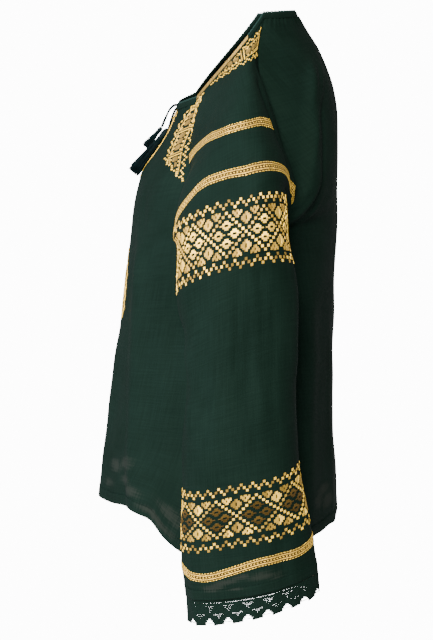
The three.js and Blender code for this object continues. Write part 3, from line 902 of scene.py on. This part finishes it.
def stitchPiece(name, band, shapes, mirrored, seed, material=None, sizes=stitchValues):
    rng = np.random.default_rng(seed)
    flat, rises, uvs, tints, faces, base = [], [], [], [], [], 0
    for points, colour, way, tone, lift in shapes:
        if np.sum(points[:, 0] * np.roll(points[:, 1], -1) - np.roll(points[:, 0], -1) * points[:, 1]) < 0:
            points = points[::-1]
        count = len(points)
        middle = points.mean(axis=0)
        top = topOutline(points, middle, sizes["inset"])
        turned = np.array([[np.cos(way), np.sin(way)], [-np.sin(way), np.cos(way)]])
        for ring, rise in ((points, sizes["sink"]), (points, sizes["shoulder"]), (top, sizes["top"])):
            flat.append(ring)
            rises.append(np.full(count, rise + lift * (rise > 0)))
            uvs.append((ring - middle) @ turned.T + rng.uniform(0, 3))
        # The shape's tint factor: random thread tone, and for motif halves, slab halves and braid ribs also
        # painted light and shade.
        shade = tone * (1 + 0.13 * rng.normal())
        tint = np.array([*np.array(threadColours[colour]) * np.clip(shade, 0.5, 1.4), 1])
        tints.append(np.tile(tint, (3 * count, 1)))
        for ring in (0, count):
            for k in range(count):
                a, b = base + ring + k, base + ring + (k + 1) % count
                faces.append((a + count, b + count, b, a))
        faces.append(tuple(base + 2 * count + k for k in range(count))[::-1])
        faces.append(tuple(base + k for k in range(count)))
        base += 3 * count
    flat = np.vstack(flat)
    places = onBand(band, flat[:, 0], flat[:, 1], np.concatenate(rises))
    if mirrored:
        places = places * [-1, 1, 1]
    # Each of these turns a band's measure over, and two of them cancel out. Faces point outwards.
    turns = [mirrored, band["sign"] < 0, band.get("inwards", 1) < 0, band["key"] == "back"]
    if sum(turns) % 2:
        faces = [turnedOver(face) for face in faces]
    piece = meshPiece(name, places, faces, np.vstack(uvs), np.vstack(tints),
                      material=material or goldThread)
    worked[band["key"]].append(piece)
    return register(piece)


# The chart, in blocks. Each motif is two satin halves that meet beside a slit.
flowerHalf = [(0, -1.85), (0.5, -1.85), (0.5, -1.2), (1.15, -1.2), (1.15, -0.6), (1.75, -0.6), (1.75, 0.6),
              (1.15, 0.6), (1.15, 1.2), (0.5, 1.2), (0.5, 1.85), (0, 1.85), (0, 0.75), (0.22, 0.55),
              (0.22, -0.55), (0, -0.75)]
tulipHalf = [(0, -1.35), (0.5, -1.35), (0.5, -0.75), (0.95, -0.75), (0.95, -1.2), (1.6, -1.2), (1.6, -0.1),
             (1.1, -0.1), (1.1, 0.5), (0.55, 0.5), (0.55, 1.25), (0, 1.25), (0, 0.4), (0.2, 0.2),
             (0.2, -0.4), (0, -0.6)]
eyeHalf = [(-2.2, -0.2), (-1.25, -0.2), (-1.25, -0.8), (-0.65, -0.8), (-0.65, -1.4), (0.65, -1.4),
           (0.65, -0.8), (1.25, -0.8), (1.25, -0.2), (2.2, -0.2), (2.2, 0.0), (0.7, 0.0), (0.55, -0.34),
           (-0.55, -0.34), (-0.7, 0.0), (-2.2, 0.0)]
lozengeHalf = [(0, -2.6), (1.3, -1.5), (2.5, 0), (1.3, 1.5), (0, 2.6), (0, 1.2), (0.14, 0.9), (0.14, -0.9),
               (0, -1.2)]


def addHalves(shapes, half, colour, spot, size, flip=1, sideways=False, shade=1.0):
    # Painted light and shade: one half of each motif is tinted lighter and the other darker, for the way
    # each half's threads catch the light.
    for sign, paintedLightAndShade in ((1, 1.15), (-1, 0.66)):
        turned = (1, sign) if sideways else (sign, flip)
        addShape(shapes, np.array(half) * turned, colour, spot, size, shade * paintedLightAndShade)


def latticeShapes(rng, values, fromU, toU):
    shapes = []
    wide, tall = values["block"]
    period, crossing = values["period"] * wide, values["crossing"]
    first, last = int((fromU - crossing) // period) - 1, int(np.ceil((toU - crossing) / period)) + 1
    for repeat in range(first, last + 1):
        u0 = crossing + repeat * period
        tone = values["tones"][repeat % len(values["tones"])]
        for k in range(-6, 6):
            for sign in ((1,) if k == 0 else (1, -1)):
                colour = tone["rise"] if sign > 0 else tone["fall"]
                addBox(shapes, wide * 0.81, tall * 0.81, colour, u0 + k * wide, sign * k * tall)
        for sign in (1, -1):
            addHalves(shapes, flowerHalf, tone["flower"], (u0, sign * 3.9 * tall),
                      (wide * 0.92, tall * 0.92), shade=rng.uniform(0.6, 1.15))
            for side in (1, -1):
                addHalves(shapes, tulipHalf, tone["tulip"], (u0 + side * 2.75 * wide, sign * 5.4 * tall),
                          (wide * 0.9, tall * 0.86), flip=-sign, shade=rng.uniform(0.6, 1.15))
        for x, y in ((6, -2.5), (6, 2.5), (3.5, 0), (8.5, 0)):
            addHalves(shapes, eyeHalf, tone["eye"], (u0 + x * wide, y * tall), (wide * 0.94, tall * 0.94),
                      sideways=True, shade=rng.uniform(0.6, 1.1))
    step = period / 14
    firstStep = int((fromU - crossing) // step)
    for sign in (1, -1):
        for number in range(firstStep, firstStep + int((toU - fromU) / step) + 2):
            level = (8, 9, 10, 9)[number % 4] + values["zigzagGap"]
            colour = ("cream", "gold", "cream", "tan")[int(rng.integers(0, 4))]
            addBox(shapes, step * 0.9, tall * 0.82, colour, crossing + number * step, sign * level * tall)
    return [shape for shape in shapes if shape[0][:, 0].min() > fromU and shape[0][:, 0].max() < toU]


def tones(*colours):
    return dict(zip(("rise", "fall", "flower", "tulip", "eye"), colours))


creamTones = tones("cream", "gold", "gold", "gold", "cream")
goldTones = tones("gold", "cream", "cream", "gold", "cream")
cuffTones = tones("cream", "cream", "gold", "cream", "bronze")
cuffTones2 = tones("cream", "gold", "cream", "gold", "bronze")
bandLines = {
    "upper": {
        "across": [-1, -0.7, -0.402, -0.176, 0.013, 0.2, 0.388, 0.7, 1],
        "row": [4.25, 4.25, 4.29, 4.40, 4.54, 4.62, 4.65, 4.62, 4.55],
        "block": (3.67, 4.0), "period": 12, "crossingAcross": 0.013, "zigzagGap": -0.5,
        "tones": [creamTones, goldTones, creamTones],
    },
    "cuff": {
        "across": [-1, -0.7, -0.288, -0.056, 0.144, 0.4, 0.7, 1],
        "row": [9.75, 9.74, 9.74, 9.68, 9.72, 9.62, 9.66, 9.75],
        "block": (3.95, 3.42), "period": 12, "crossingAcross": -0.056, "zigzagGap": 0.0,
        "tones": [cuffTones, cuffTones2],
    },
}

for side in ("left", "right"):
    key = "sleeve" + side.title()
    for number, (label, values) in enumerate(bandLines.items()):
        band = bandMeasure(key, values["across"], values["row"])
        values["crossing"] = float(np.interp(values["crossingAcross"], band["across"], band["ranU"]))
        rng = np.random.default_rng(40 + number)
        shapes = latticeShapes(rng, values, 2.0, band["ranU"][-1] - 2.0)
        stitchPiece(f"{side}{label.title()}Band", band, shapes, side == "right", 50 + number)
print("stage: sleeve bands")


# Woven braid, laid on the sleeve: two ribbed stripes, a chain of ovals, and dashed edges.
braidLines = {
    "shoulder": ([-1, -0.971, -0.706, -0.471, -0.277, -0.086, 0.097, 0.297, 0.404, 0.56, 0.75, 1],
                 [1.98, 1.989, 2.091, 2.129, 2.176, 2.169, 2.144, 2.101, 2.113, 2.141, 2.16, 2.2]),
    "upperArm": ([-1, -0.7, -0.52, -0.451, -0.355, -0.266, -0.184, -0.086, 0.012, 0.181, 0.395, 0.55, 0.7,
                  0.858, 1],
                 [3.35, 3.25, 3.12, 3.051, 2.992, 2.932, 2.97, 3.097, 3.263, 3.362, 3.39, 3.36, 3.27,
                  3.157, 3.054]),
    "wrist": ([-1, -0.7, -0.55, -0.43, -0.357, -0.257, -0.186, -0.106, -0.033, 0.039, 0.113, 0.195, 0.265,
               0.332, 0.412, 0.5, 0.75, 1],
              [11.0, 10.95, 10.9, 10.97, 11.1, 11.18, 11.14, 11.04, 10.94, 10.885, 10.9, 10.92, 10.91,
               10.845, 10.76, 10.75, 10.9, 11.0]),
}
braidValues = {"rib": 1.5, "stripe": 1.75, "stripeAt": 3.0, "bead": 3.9, "dash": 3.7, "edgeAt": 6.0,
               "ground": 12.4}
beadOutline = [(np.cos(t) * 1.15, np.sin(t) * 0.85) for t in np.linspace(0, 2 * np.pi, 9)[:-1]]


def braidShapes(length, values, narrow):
    shapes = []
    half = values["stripe"] / 2
    rib = [(-0.85, -half), (0.6, -half), (0.85, half), (-0.6, half)]
    for u in np.arange(2.5, length - 2.5, 3.0):
        addBox(shapes, 3.02, values["ground"], "brown", u, 0, lift=-0.25)
    # Painted light and shade: alternate ribs are tinted lighter and darker.
    for number, u in enumerate(np.arange(1.5, length - 1.5, values["rib"])):
        for v in (values["stripeAt"], -values["stripeAt"]):
            addShape(shapes, rib, "satin", (u, v), shade=(1.1, 0.88)[number % 2], way=np.pi / 2)
    for number, u in enumerate(np.arange(2.0, length - 2.0, values["bead"] / 2)):
        if number % 2:
            addBox(shapes, 1.0, 1.5, "bronze", u, 0)
        else:
            addShape(shapes, beadOutline, "cream", (u, 0))
    for u in np.arange(2.0, length - 2.0, values["dash"]):
        for sign in (1, -1):
            addBox(shapes, 2.4, 0.85, "cream", u + 0.9 * sign, sign * values["edgeAt"], way=np.pi / 2)
    return moved(shapes, lambda u, v: np.stack([u, v * narrow], -1))


for side in ("left", "right"):
    key = "sleeve" + side.title()
    for number, (label, (across, row)) in enumerate(braidLines.items()):
        band = bandMeasure(key, across, row, toAcross=0.6 if label == "shoulder" else 0.999)
        shapes = braidShapes(band["ranU"][-1], braidValues, 0.76 if label == "wrist" else 1.0)
        name = f"{side}{label[0].upper()}{label[1:]}Braid"
        stitchPiece(name, band, shapes, side == "right", 60 + number)
print("stage: braid")


# Embroidery that fills a shaped patch: low and high give its sides at each distance down.
def patchShapes(values, rng):
    shapes = []
    wide, tall = values["block"]
    full = wide * 1.02, tall * 1.02
    for j in range(int(values["length"] / tall)):
        v = (j + 0.5) * tall
        low, high = np.interp(v, values["v"], values["low"]), np.interp(v, values["v"], values["high"])
        step = min((0, 1, 2, 1)[j % 4] * wide * 0.85, high - low - wide)
        if high - low > 1.2 * wide:
            if low > 0.5:
                addBox(shapes, *full, "cream", low + wide / 2 + step, v)
            addBox(shapes, *full, "cream", high - wide / 2 - step, v)
        innerLow, innerHigh = low + (3.4 * wide if low >= 0.5 else 0), high - 3.4 * wide
        level = j - values["rowShift"]
        for i in range(-40, 41):
            u = i * wide
            rise, fall = (i + level) % 10, (i - level) % 10
            if not innerLow <= u - wide / 2 <= u + wide / 2 <= innerHigh:
                continue
            if rise == 0 or fall == 0:
                addBox(shapes, *full, "gold" if fall else "cream", u, v)
            elif rise in (2, 8) and fall in (2, 8):
                addBox(shapes, wide * 0.8, tall * 0.8, "cream", u, v)
        if level % 5:
            continue
        for i in range(-4, 5):
            u = (10 * i + (0 if level % 10 else 5)) * wide
            if innerLow + 1.6 * wide < u < innerHigh - 1.6 * wide:
                for sign in (1, -1):
                    colour = ("gold", "tan")[int(rng.integers(0, 2))]
                    addShape(shapes, np.array(lozengeHalf) * (sign, 1), colour, (u, v), (wide, tall))
    return shapes


seamBlocks = 15


# The worked band that runs up each front raglan seam and round the neck. Its chart has s
# along the band in stitches and t across it in blocks, from its plain edge.
def seamChart(fromS, toS):
    shapes, full = [], seamBlocks
    slab = np.array([(-1.3, 0.1), (1.35, 0.1), (1.05, 1.55), (-1.0, 1.55)])
    for s in range(fromS, toS):
        step, place = 0.5 + (0, 1, 2, 1)[s % 4], s % 12
        addBox(shapes, 0.8, 0.8, "cream", s + 0.5, step)
        addBox(shapes, 0.8, 0.8, "cream", s + 0.5, full - step)
        if place in (0, 1):
            colour, lean = ("cream", 0.45) if place else ("satin", 0.3)
            for t in np.arange(3.4, full - 3.6, 1.5):
                addBox(shapes, 0.5, 1.42, colour, s + lean, t + 0.75)
            continue
        for t in (4.1, full - 4.1):
            addBox(shapes, 0.8, 0.7, "cream" if s % 2 else "satin", s + 0.5, t)
        if s % 2:
            for t in (5.1, full - 5.1):
                addBox(shapes, 0.85, 0.62, "cream", s + 0.3, t)
        if place in (3, 6, 9):
            # Painted light and shade: the slab's two halves are tinted lighter and darker.
            for side, shade in ((1, 1.1), (-1, 0.85)):
                addShape(shapes, slab * side, "olive", (s + 0.5, full / 2), shade=shade)
    return shapes


flankValues = {
    "stitch": 2.9,
    "v": [0, 7, 11, 19, 25, 34, 46, 59, 71, 83, 92, 103, 111, 117],
    "left": [8, 13, 20, 24, 33, 40, 43, 44, 44.5, 37, 29, 23, 17.5, 13],
    "right": [-30, -26, -24, -18, -16, -13.5, -9, -3.5, 0.8, 2.6, 4.6, 8.5, 11.5, 13],
    "chartWidth": [38, 39, 44, 43, 48, 51, 50, 47, 44, 42, 41, 40, 39, 38],
}


def flankShapes(values):
    def side(key, v):
        return np.interp(v, values["v"], values[key])

    def place(s, t):
        v = s * values["stitch"]
        return np.stack([side("right", v) + t * side("chartWidth", v) / seamBlocks, v], -1)

    shapes = moved(seamChart(0, 40), place)
    kept = [shape for shape in shapes if (shape[0][:, 0] < side("left", shape[0][:, 1]) - 1.0).all()
            or shape[0][:, 1].max() < 70]
    kept = [shape for shape in kept if shape[0][:, 1].min() > 1.2]
    for k in range(16):
        v = 71.5 + k * values["stitch"]
        u = side("left", v) - (0, 1, 2, 1)[k % 4] * 2.2 + 1.0
        addBox(kept, 3.1, 2.1, "cream", u, v)
    front, sleeve = [], []
    for shape in kept:
        way = 1 if shape[0][:, 0].mean() > 0 else -1
        across = np.maximum(shape[0][:, 0] * way, 0.7)
        if np.ptp(across) > 0.9:
            cut = (np.stack([across, shape[0][:, 1]], -1), *shape[1:])
            (front if way > 0 else sleeve).append(cut)
    return front, sleeve


chestValues = {
    "block": (3.3, 3.3), "length": 100, "rowShift": 2,
    "v": [0, 22, 36, 60, 72, 86, 94, 100],
    "low": [0, 0, 0, 0, 0, 10, 16, 19],
    "high": [0, 10, 30, 40, 42, 42, 34, 22],
}


# Slanting stitches along the slit, and a row of small leaves beside it.
def slitShapes(length):
    shapes = []
    for v in np.arange(1.0, length - 1, 1.15):
        addShape(shapes, [(1.1, -0.55), (3.3, -0.2), (3.3, 0.7), (1.1, 0.35)], "cream", (0, v))
    leaf = np.array([(0, -3.2), (1.7, -1.4), (1.7, 1.4), (0, 3.2)])
    for number, (u, v) in enumerate(((8.5, 6.5), (7.5, 14.5), (6.8, 22), (6.2, 28.5))):
        size = 1.15 - 0.16 * number
        for side in (1, -1):
            addShape(shapes, leaf * (side, 1), "gold", (u + side * 0.15, v), (size, size))
            addBox(shapes, 1.5, 1.5, "cream", u + side * 3.2 * size, v + 2.4 * size)
    return shapes


for label, sign in (("left", 1), ("right", -1)):
    onFront, onSleeve = flankShapes(flankValues)
    stitchPiece(f"{label}FlankBand", edgeMeasure("front", 1, -1, sign), onFront, False, 72)
    band = edgeMeasure("sleeve" + label.title(), -1, 1)
    stitchPiece(f"{label}RaglanBand", band, onSleeve, label == "right", 73)
    band = bandMeasure("front", [0, 1], [4.0, 4.0], 1e-4, 0.6, sign)
    stitchPiece(f"{label}ChestBand", band, patchShapes(chestValues, np.random.default_rng(73)), False, 74)
    band = edgeMeasure("front", 1e-6, 1, sign, slitBottomRow)
    stitchPiece(f"{label}SlitEdge", band, slitShapes(band["ranV"][-1]), False, 75)
print("stage: front embroidery")


# The same band round the sleeve's top, cut off by the neckline.
neckTopValues = {
    "across": [-0.64, -0.5, -0.32, -0.059, 0.142, 0.351, 0.631, 0.8, 1],
    "row": [0.1, 0.13, 0.24, 0.466, 0.569, 0.753, 0.864, 0.9, 0.92],
    "stitch": 2.9,
    "clear": 0.5,
}


def neckTopShapes(band, values):
    length = band["ranU"][-1]
    count = int(length / values["stitch"]) - 1
    chart = seamChart(1, count)
    shapes = moved(chart, lambda s, t: np.stack([s * values["stitch"], -t * values["stitch"]], -1))
    kept = []
    for shape in shapes:
        points = shape[0]
        i = int(np.clip(np.searchsorted(band["ranU"], points[:, 0].mean()), 0, len(band["across"]) - 1))
        if points[:, 1].min() > band["ranV"][i, 0] + values["clear"] and points[:, 0].max() < length - 1:
            kept.append(shape)
    return kept


for side in ("left", "right"):
    band = bandMeasure("sleeve" + side.title(), neckTopValues["across"], neckTopValues["row"], -0.64, 0.999)
    stitchPiece(f"{side}NeckTopBand", band, neckTopShapes(band, neckTopValues), side == "right", 82)
print("stage: neck top embroidery")


# Rows of small hand stitches that hold the hems.
hemValues = {"pitch": 3.4, "stitch": (2.2, 0.5), "sizes": {**stitchValues, "sink": -0.3}}
for key, row, name in (("front", hemRow, "front"), ("back", hemRow, "back"),
                       ("sleeveLeft", sleeveEndRow, "leftSleeve"),
                       ("sleeveRight", sleeveEndRow, "rightSleeve")):
    band = bandMeasure(key, [-1, 1], [row - 0.001] * 2)
    shapes = []
    for u in np.arange(2.0, band["ranU"][-1] - 3, hemValues["pitch"]):
        addBox(shapes, *hemValues["stitch"], "green", u, -clothValues["hemWidth"], way=np.pi / 2)
    stitchPiece(f"{name}HemStitches", band, shapes, name == "rightSleeve", 90, crochet, hemValues["sizes"])
print("stage: hem stitches")


# Crochet lace, worked in squares: x is solid, o an eyelet, - a single thread, . nothing.
laceRowsPattern = [
    "xxxxxxxxxxxxx",
    "ooooooooooooo",
    "xxxxxxxxxxxxx",
    "ooooxxxxxxooo",
    "oooxxxxxxxxoo",
    "ooxxxxxxxxxxo",
    "oxxxxxxxxxxxx",
    "xxxxxxxxxxxxx",
    "xxxoooooooxxx",
    "xxxxxoooxxxxx",
    "xxxxxxoxxxxxx",
    "-xxxxxxxxxxx-",
    "..xxxxxxxxx..",
    "---xxxxxxx---",
    "...xxxxxxx...",
]
laceShape = {"repeats": 17, "wall": 0.6, "eyelet": 0.36, "thread": 0.36, "behind": 0.3}


# The net's corners, in squares, and its faces.
def laceNet(wide, values):
    corners, known, faces = [], {}, []

    def square(fromX, fromY, toX, toY):
        made = []
        for spot in ((fromX, fromY), (toX, fromY), (toX, toY), (fromX, toY)):
            if spot not in known:
                known[spot] = len(corners)
                corners.append(spot)
            made.append(known[spot])
        return made

    eyelet, thread = values["eyelet"], values["thread"]
    for r, pattern in enumerate(laceRowsPattern):
        for c in range(wide):
            kind = pattern[c % len(pattern)]
            if kind == "x":
                faces.append(square(c, r, c + 1, r + 1))
            elif kind == "o":
                outer = square(c, r, c + 1, r + 1)
                inner = square(c + eyelet, r + eyelet, c + 1 - eyelet, r + 1 - eyelet)
                for k in range(4):
                    n = (k + 1) % 4
                    faces.append([outer[k], outer[n], inner[n], inner[k]])
            elif kind == "-":
                faces.append(square(c, r + thread, c + 1, r + 1 - thread))
    return np.array(corners, float), faces


def makeLace(side, values, seed):
    rng = np.random.default_rng(seed)
    tall = len(laceRowsPattern)
    wide = len(laceRowsPattern[0]) * values["repeats"]
    across = np.linspace(-0.9995, 0.9995, 1200)
    ran = ranAlong(sleevePoint(across, np.full_like(across, 12.5)))
    corners, faces = laceNet(wide, values)
    at = np.interp(corners[:, 0] / wide * ran[-1], ran, across)
    row = sleeveEndRow + 0.01 + corners[:, 1] / tall * 0.985
    height = foldHeight("sleeve", at, row, laceEndRow) * smooth((1 - np.abs(at)) / clothValues["edgeFade"])
    places = sleevePoint(at, row)
    over, upwards = sleevePoint(at + 0.002, row) - places, sleevePoint(at, row - 0.02) - places
    outward = unit(np.cross(over, upwards))
    jitter = rng.normal(0, 0.12, (len(places), 3))
    flutter = 0.8 * np.sin(corners[:, 0] * 2 * np.pi / len(laceRowsPattern[0])) * corners[:, 1] / tall
    places = places + outward * (height - values["behind"] + flutter)[:, None] + jitter
    if side == "right":
        places = places * [-1, 1, 1]
        faces = [face[::-1] for face in faces]
    piece = meshPiece(f"{side}CuffLace", places, [face[::-1] for face in faces],
                      np.stack([corners[:, 0] / wide * ran[-1], corners[:, 1] * 2.1], -1), material=crochet)
    useModifier(piece, 'SOLIDIFY', thickness=values["wall"] / 1000, offset=-1.0)
    count = np.arange(len(piece.data.polygons))
    # Solidify puts the inner faces after the outer ones.
    inner = (count >= len(faces)) & (count < 2 * len(faces))
    piece.data.attributes.new("inside", 'FLOAT', 'FACE').data.foreach_set("value", inner.astype(float))
    return register(piece, [f"cuff_lace_{side}"])


laces = {side: makeLace(side, laceShape, 101 + n) for n, side in enumerate(("left", "right"))}
print("stage: lace")


# The gathered neck casing and its looped edging.
neckValues = {
    "stand": 0.4, "evening": 30, "pitch": 3.6, "ridge": 0.42, "lift": -0.35,
    "section": [(0.5, -1.3), (0.95, 0.1), (1.15, 2.4), (1.1, 4.5), (0.9, 6.1), (0.4, 6.9),
                (-0.4, 6.9), (-0.9, 6.1), (-1.1, 4.5), (-1.1, 2.4), (-0.9, 0.1), (-0.5, -1.3)],
    "loopPitch": 6.2, "loopHeight": 1.6, "loopThread": 0.62, "baseThread": 0.75, "edgeAt": 7.2,
}


def necklineStations(values, spacing=1.0):
    places, ups, outs = [], [], []
    for form, low, high, count in (("front", 1e-6, 1, 50), ("sleeve", -1, 1, 110), ("back", 1, 0, 70)):
        across = np.linspace(low, high, count, endpoint=form == "back")
        zero = np.zeros_like(across)
        place, below = formPoint(form, across, zero), formPoint(form, across, zero + 0.05)
        lowest = 1e-6 if form == "front" else -1
        ahead, behind = np.clip(across + 0.004, lowest, 1), np.clip(across - 0.004, lowest, 1)
        aside = formPoint(form, ahead, zero) - formPoint(form, behind, zero)
        outs.append(unit(np.cross(aside, below - place)) * (1 if form == "back" else -1))
        ups.append(unit(unit(place - below) + [0, 0, values["stand"]]))
        places.append(place)
    columns = [np.vstack(part) for part in (places, ups, outs)]
    columns = [np.vstack([part, part[-2::-1] * [-1, 1, 1]]) for part in columns]
    ran = ranAlong(columns[0])
    even = np.arange(0, ran[-1], spacing)
    columns = [between(even, ran, part) for part in columns]

    def evened(part, reach):
        window = np.exp(-0.5 * (np.arange(-3 * reach, 3 * reach + 1) / reach) ** 2)
        window /= window.sum()
        padded = np.pad(part, ((3 * reach, 3 * reach), (0, 0)), mode="edge")
        return np.stack([np.convolve(padded[:, k], window, "valid") for k in range(3)], -1)

    place = columns[0]
    up, out = unit(evened(columns[1], values["evening"])), evened(columns[2], values["evening"])
    out = unit(out - up * (out * up).sum(-1, keepdims=True))
    return place, up, out, even


neckline = necklineStations(neckValues)


def makeCasing(values, seed):
    place, up, out, ran = neckline
    wander = np.cumsum(np.random.default_rng(seed).normal(0, 0.09, len(ran)))
    ridge = np.abs(np.sin(np.pi * ran / values["pitch"] + wander)) ** 0.8
    section = np.array(values["section"])
    rings, uvs = [], []
    for k in range(len(ran)):
        shaped = section * [0.85 + values["ridge"] * ridge[k], 1] + [values["lift"], 0.25 * ridge[k]]
        rings.append(place[k] + shaped[:, :1] * out[k] + shaped[:, 1:] * up[k])
        uvs.append(np.stack([np.full(len(section), ran[k]), np.arange(len(section)) * 1.6], -1))
    places, faces = ringPiece(rings)
    casing = meshPiece("neckCasing", places, [turnedOver(face) for face in faces], np.vstack(uvs),
                       values={"sheerLight": np.zeros(len(places))}, material=linen)
    shadeSmooth(casing)
    register(casing, ["neck_casing"])


# Satin stitches that carry the gold band over the casing, above each sleeve's front half.
def makeSatin(values, seed):
    *parts, ran = neckline

    def station(s):
        return [between(s, ran, part) for part in parts]

    rng = np.random.default_rng(seed)
    places, tints, faces = [], [], []
    for s in np.arange(2, ran[-1] - 2, 1.5):
        ends = [station(s + rng.normal(0, 0.1)), station(s + 1.35)]
        spot = ends[0][0]
        if abs(spot[0]) < 69 or spot[1] > values["backTo"]:
            continue
        base = len(places)
        low, high, proud = values["from"], values["to"], values["proud"]
        for height, depth in ((low, 0.3), (high, 0.3), (high - 0.2, proud), (low + 0.2, proud)):
            for middle, upward, outward in ends:
                places.append(middle + upward * height + outward * depth)
        shade = 1 + 0.16 * rng.normal()
        tints.extend([[*(np.array(threadColours[values["colour"]]) * shade), 1]] * 8)
        for face in ((0, 2, 3, 1), (2, 4, 5, 3), (4, 6, 7, 5), (6, 0, 1, 7), (0, 6, 4, 2), (1, 3, 5, 7)):
            faces.append([base + k for k in face])
    uv = np.array(places)[:, [2, 1]]
    register(meshPiece("casingSatin", places, faces, uv, tints, material=goldThread))


# The looped edging on top of the casing.
def makeEdging(values):
    place, up, out, ran = neckline
    fine = np.arange(0, ran[-1], 0.55)
    arc = np.abs(np.sin(np.pi * fine / values["loopPitch"])) ** 0.6
    height = values["edgeAt"] + values["loopHeight"] * arc
    finePlace, fineUp, fineOut = [between(fine, ran, part) for part in (place, up, out)]
    loops = finePlace + fineUp * height[:, None] + fineOut * values["lift"]
    base = place + up * (values["edgeAt"] - 0.1) + out * values["lift"]
    parts = [tubeParts(loops, [circle(values["loopThread"], 6)] * len(loops)),
             tubeParts(base, [circle(values["baseThread"], 7)] * len(base))]
    edging = meshPiece("neckEdging", *joinParts(parts), material=neckYarn)
    shadeSmooth(edging)
    register(edging, ["neck_edging"])


makeCasing(neckValues, 131)
makeSatin({"from": 0.5, "to": 6.2, "proud": 1.45, "backTo": 20, "colour": "olive"}, 133)
makeEdging(neckValues)
print("stage: neck")

# Stage and light.
stageValues = {"floorHeight": -1500, "floorRadius": 1300, "seen": 13, "soft": 0.85}
bpy.ops.mesh.primitive_circle_add(vertices=96, radius=stageValues["floorRadius"] / 1000, fill_type='NGON')
floor = bpy.context.object
floor.name = "floor"
floor.data.transform(Matrix.Translation((0, 0, stageValues["floorHeight"] / 1000)))
floorMaterial, _, floorShader = newMaterial("paleFloor")
floorShader.inputs["Base Color"].default_value = (0.9, 0.9, 0.9, 1)
floor.data.materials.append(floorMaterial)


lightValues = {
    "aim": (0.1, 0, -0.3),
    "size": 1.1,
    "keyLight": {"spot": (1.5, -2.9, 1.3), "power": 385, "colour": (1.0, 0.9, 1.12)},
    "sideLight": {"spot": (3.1, -0.7, 1.3), "power": 480, "colour": (1.0, 0.89, 0.87)},
}


def areaLight(name, values):
    own = values[name]
    bpy.ops.object.light_add(type='AREA', location=own["spot"])
    light = bpy.context.object
    light.name = name
    looking = Vector(values["aim"]) - Vector(own["spot"])
    light.rotation_euler = looking.to_track_quat('-Z', 'Y').to_euler()
    light.data.size = values["size"]
    light.data.energy = own["power"]
    light.data.color = own["colour"]


areaLight("keyLight", lightValues)
areaLight("sideLight", lightValues)
world = bpy.data.worlds.new("softWhite")
bpy.context.scene.world = world
world.use_nodes = True
sky = world.node_tree.nodes["Background"]
sky.inputs[0].default_value = (1, 1, 1, 1)
seen = addNode(world.node_tree, 'ShaderNodeLightPath').outputs["Is Camera Ray"]
levels = {0: seen, 3: stageValues["soft"], 4: stageValues["seen"]}
strength = addNode(world.node_tree, 'ShaderNodeMapRange', levels)
world.node_tree.links.new(strength.outputs[0], sky.inputs[1])
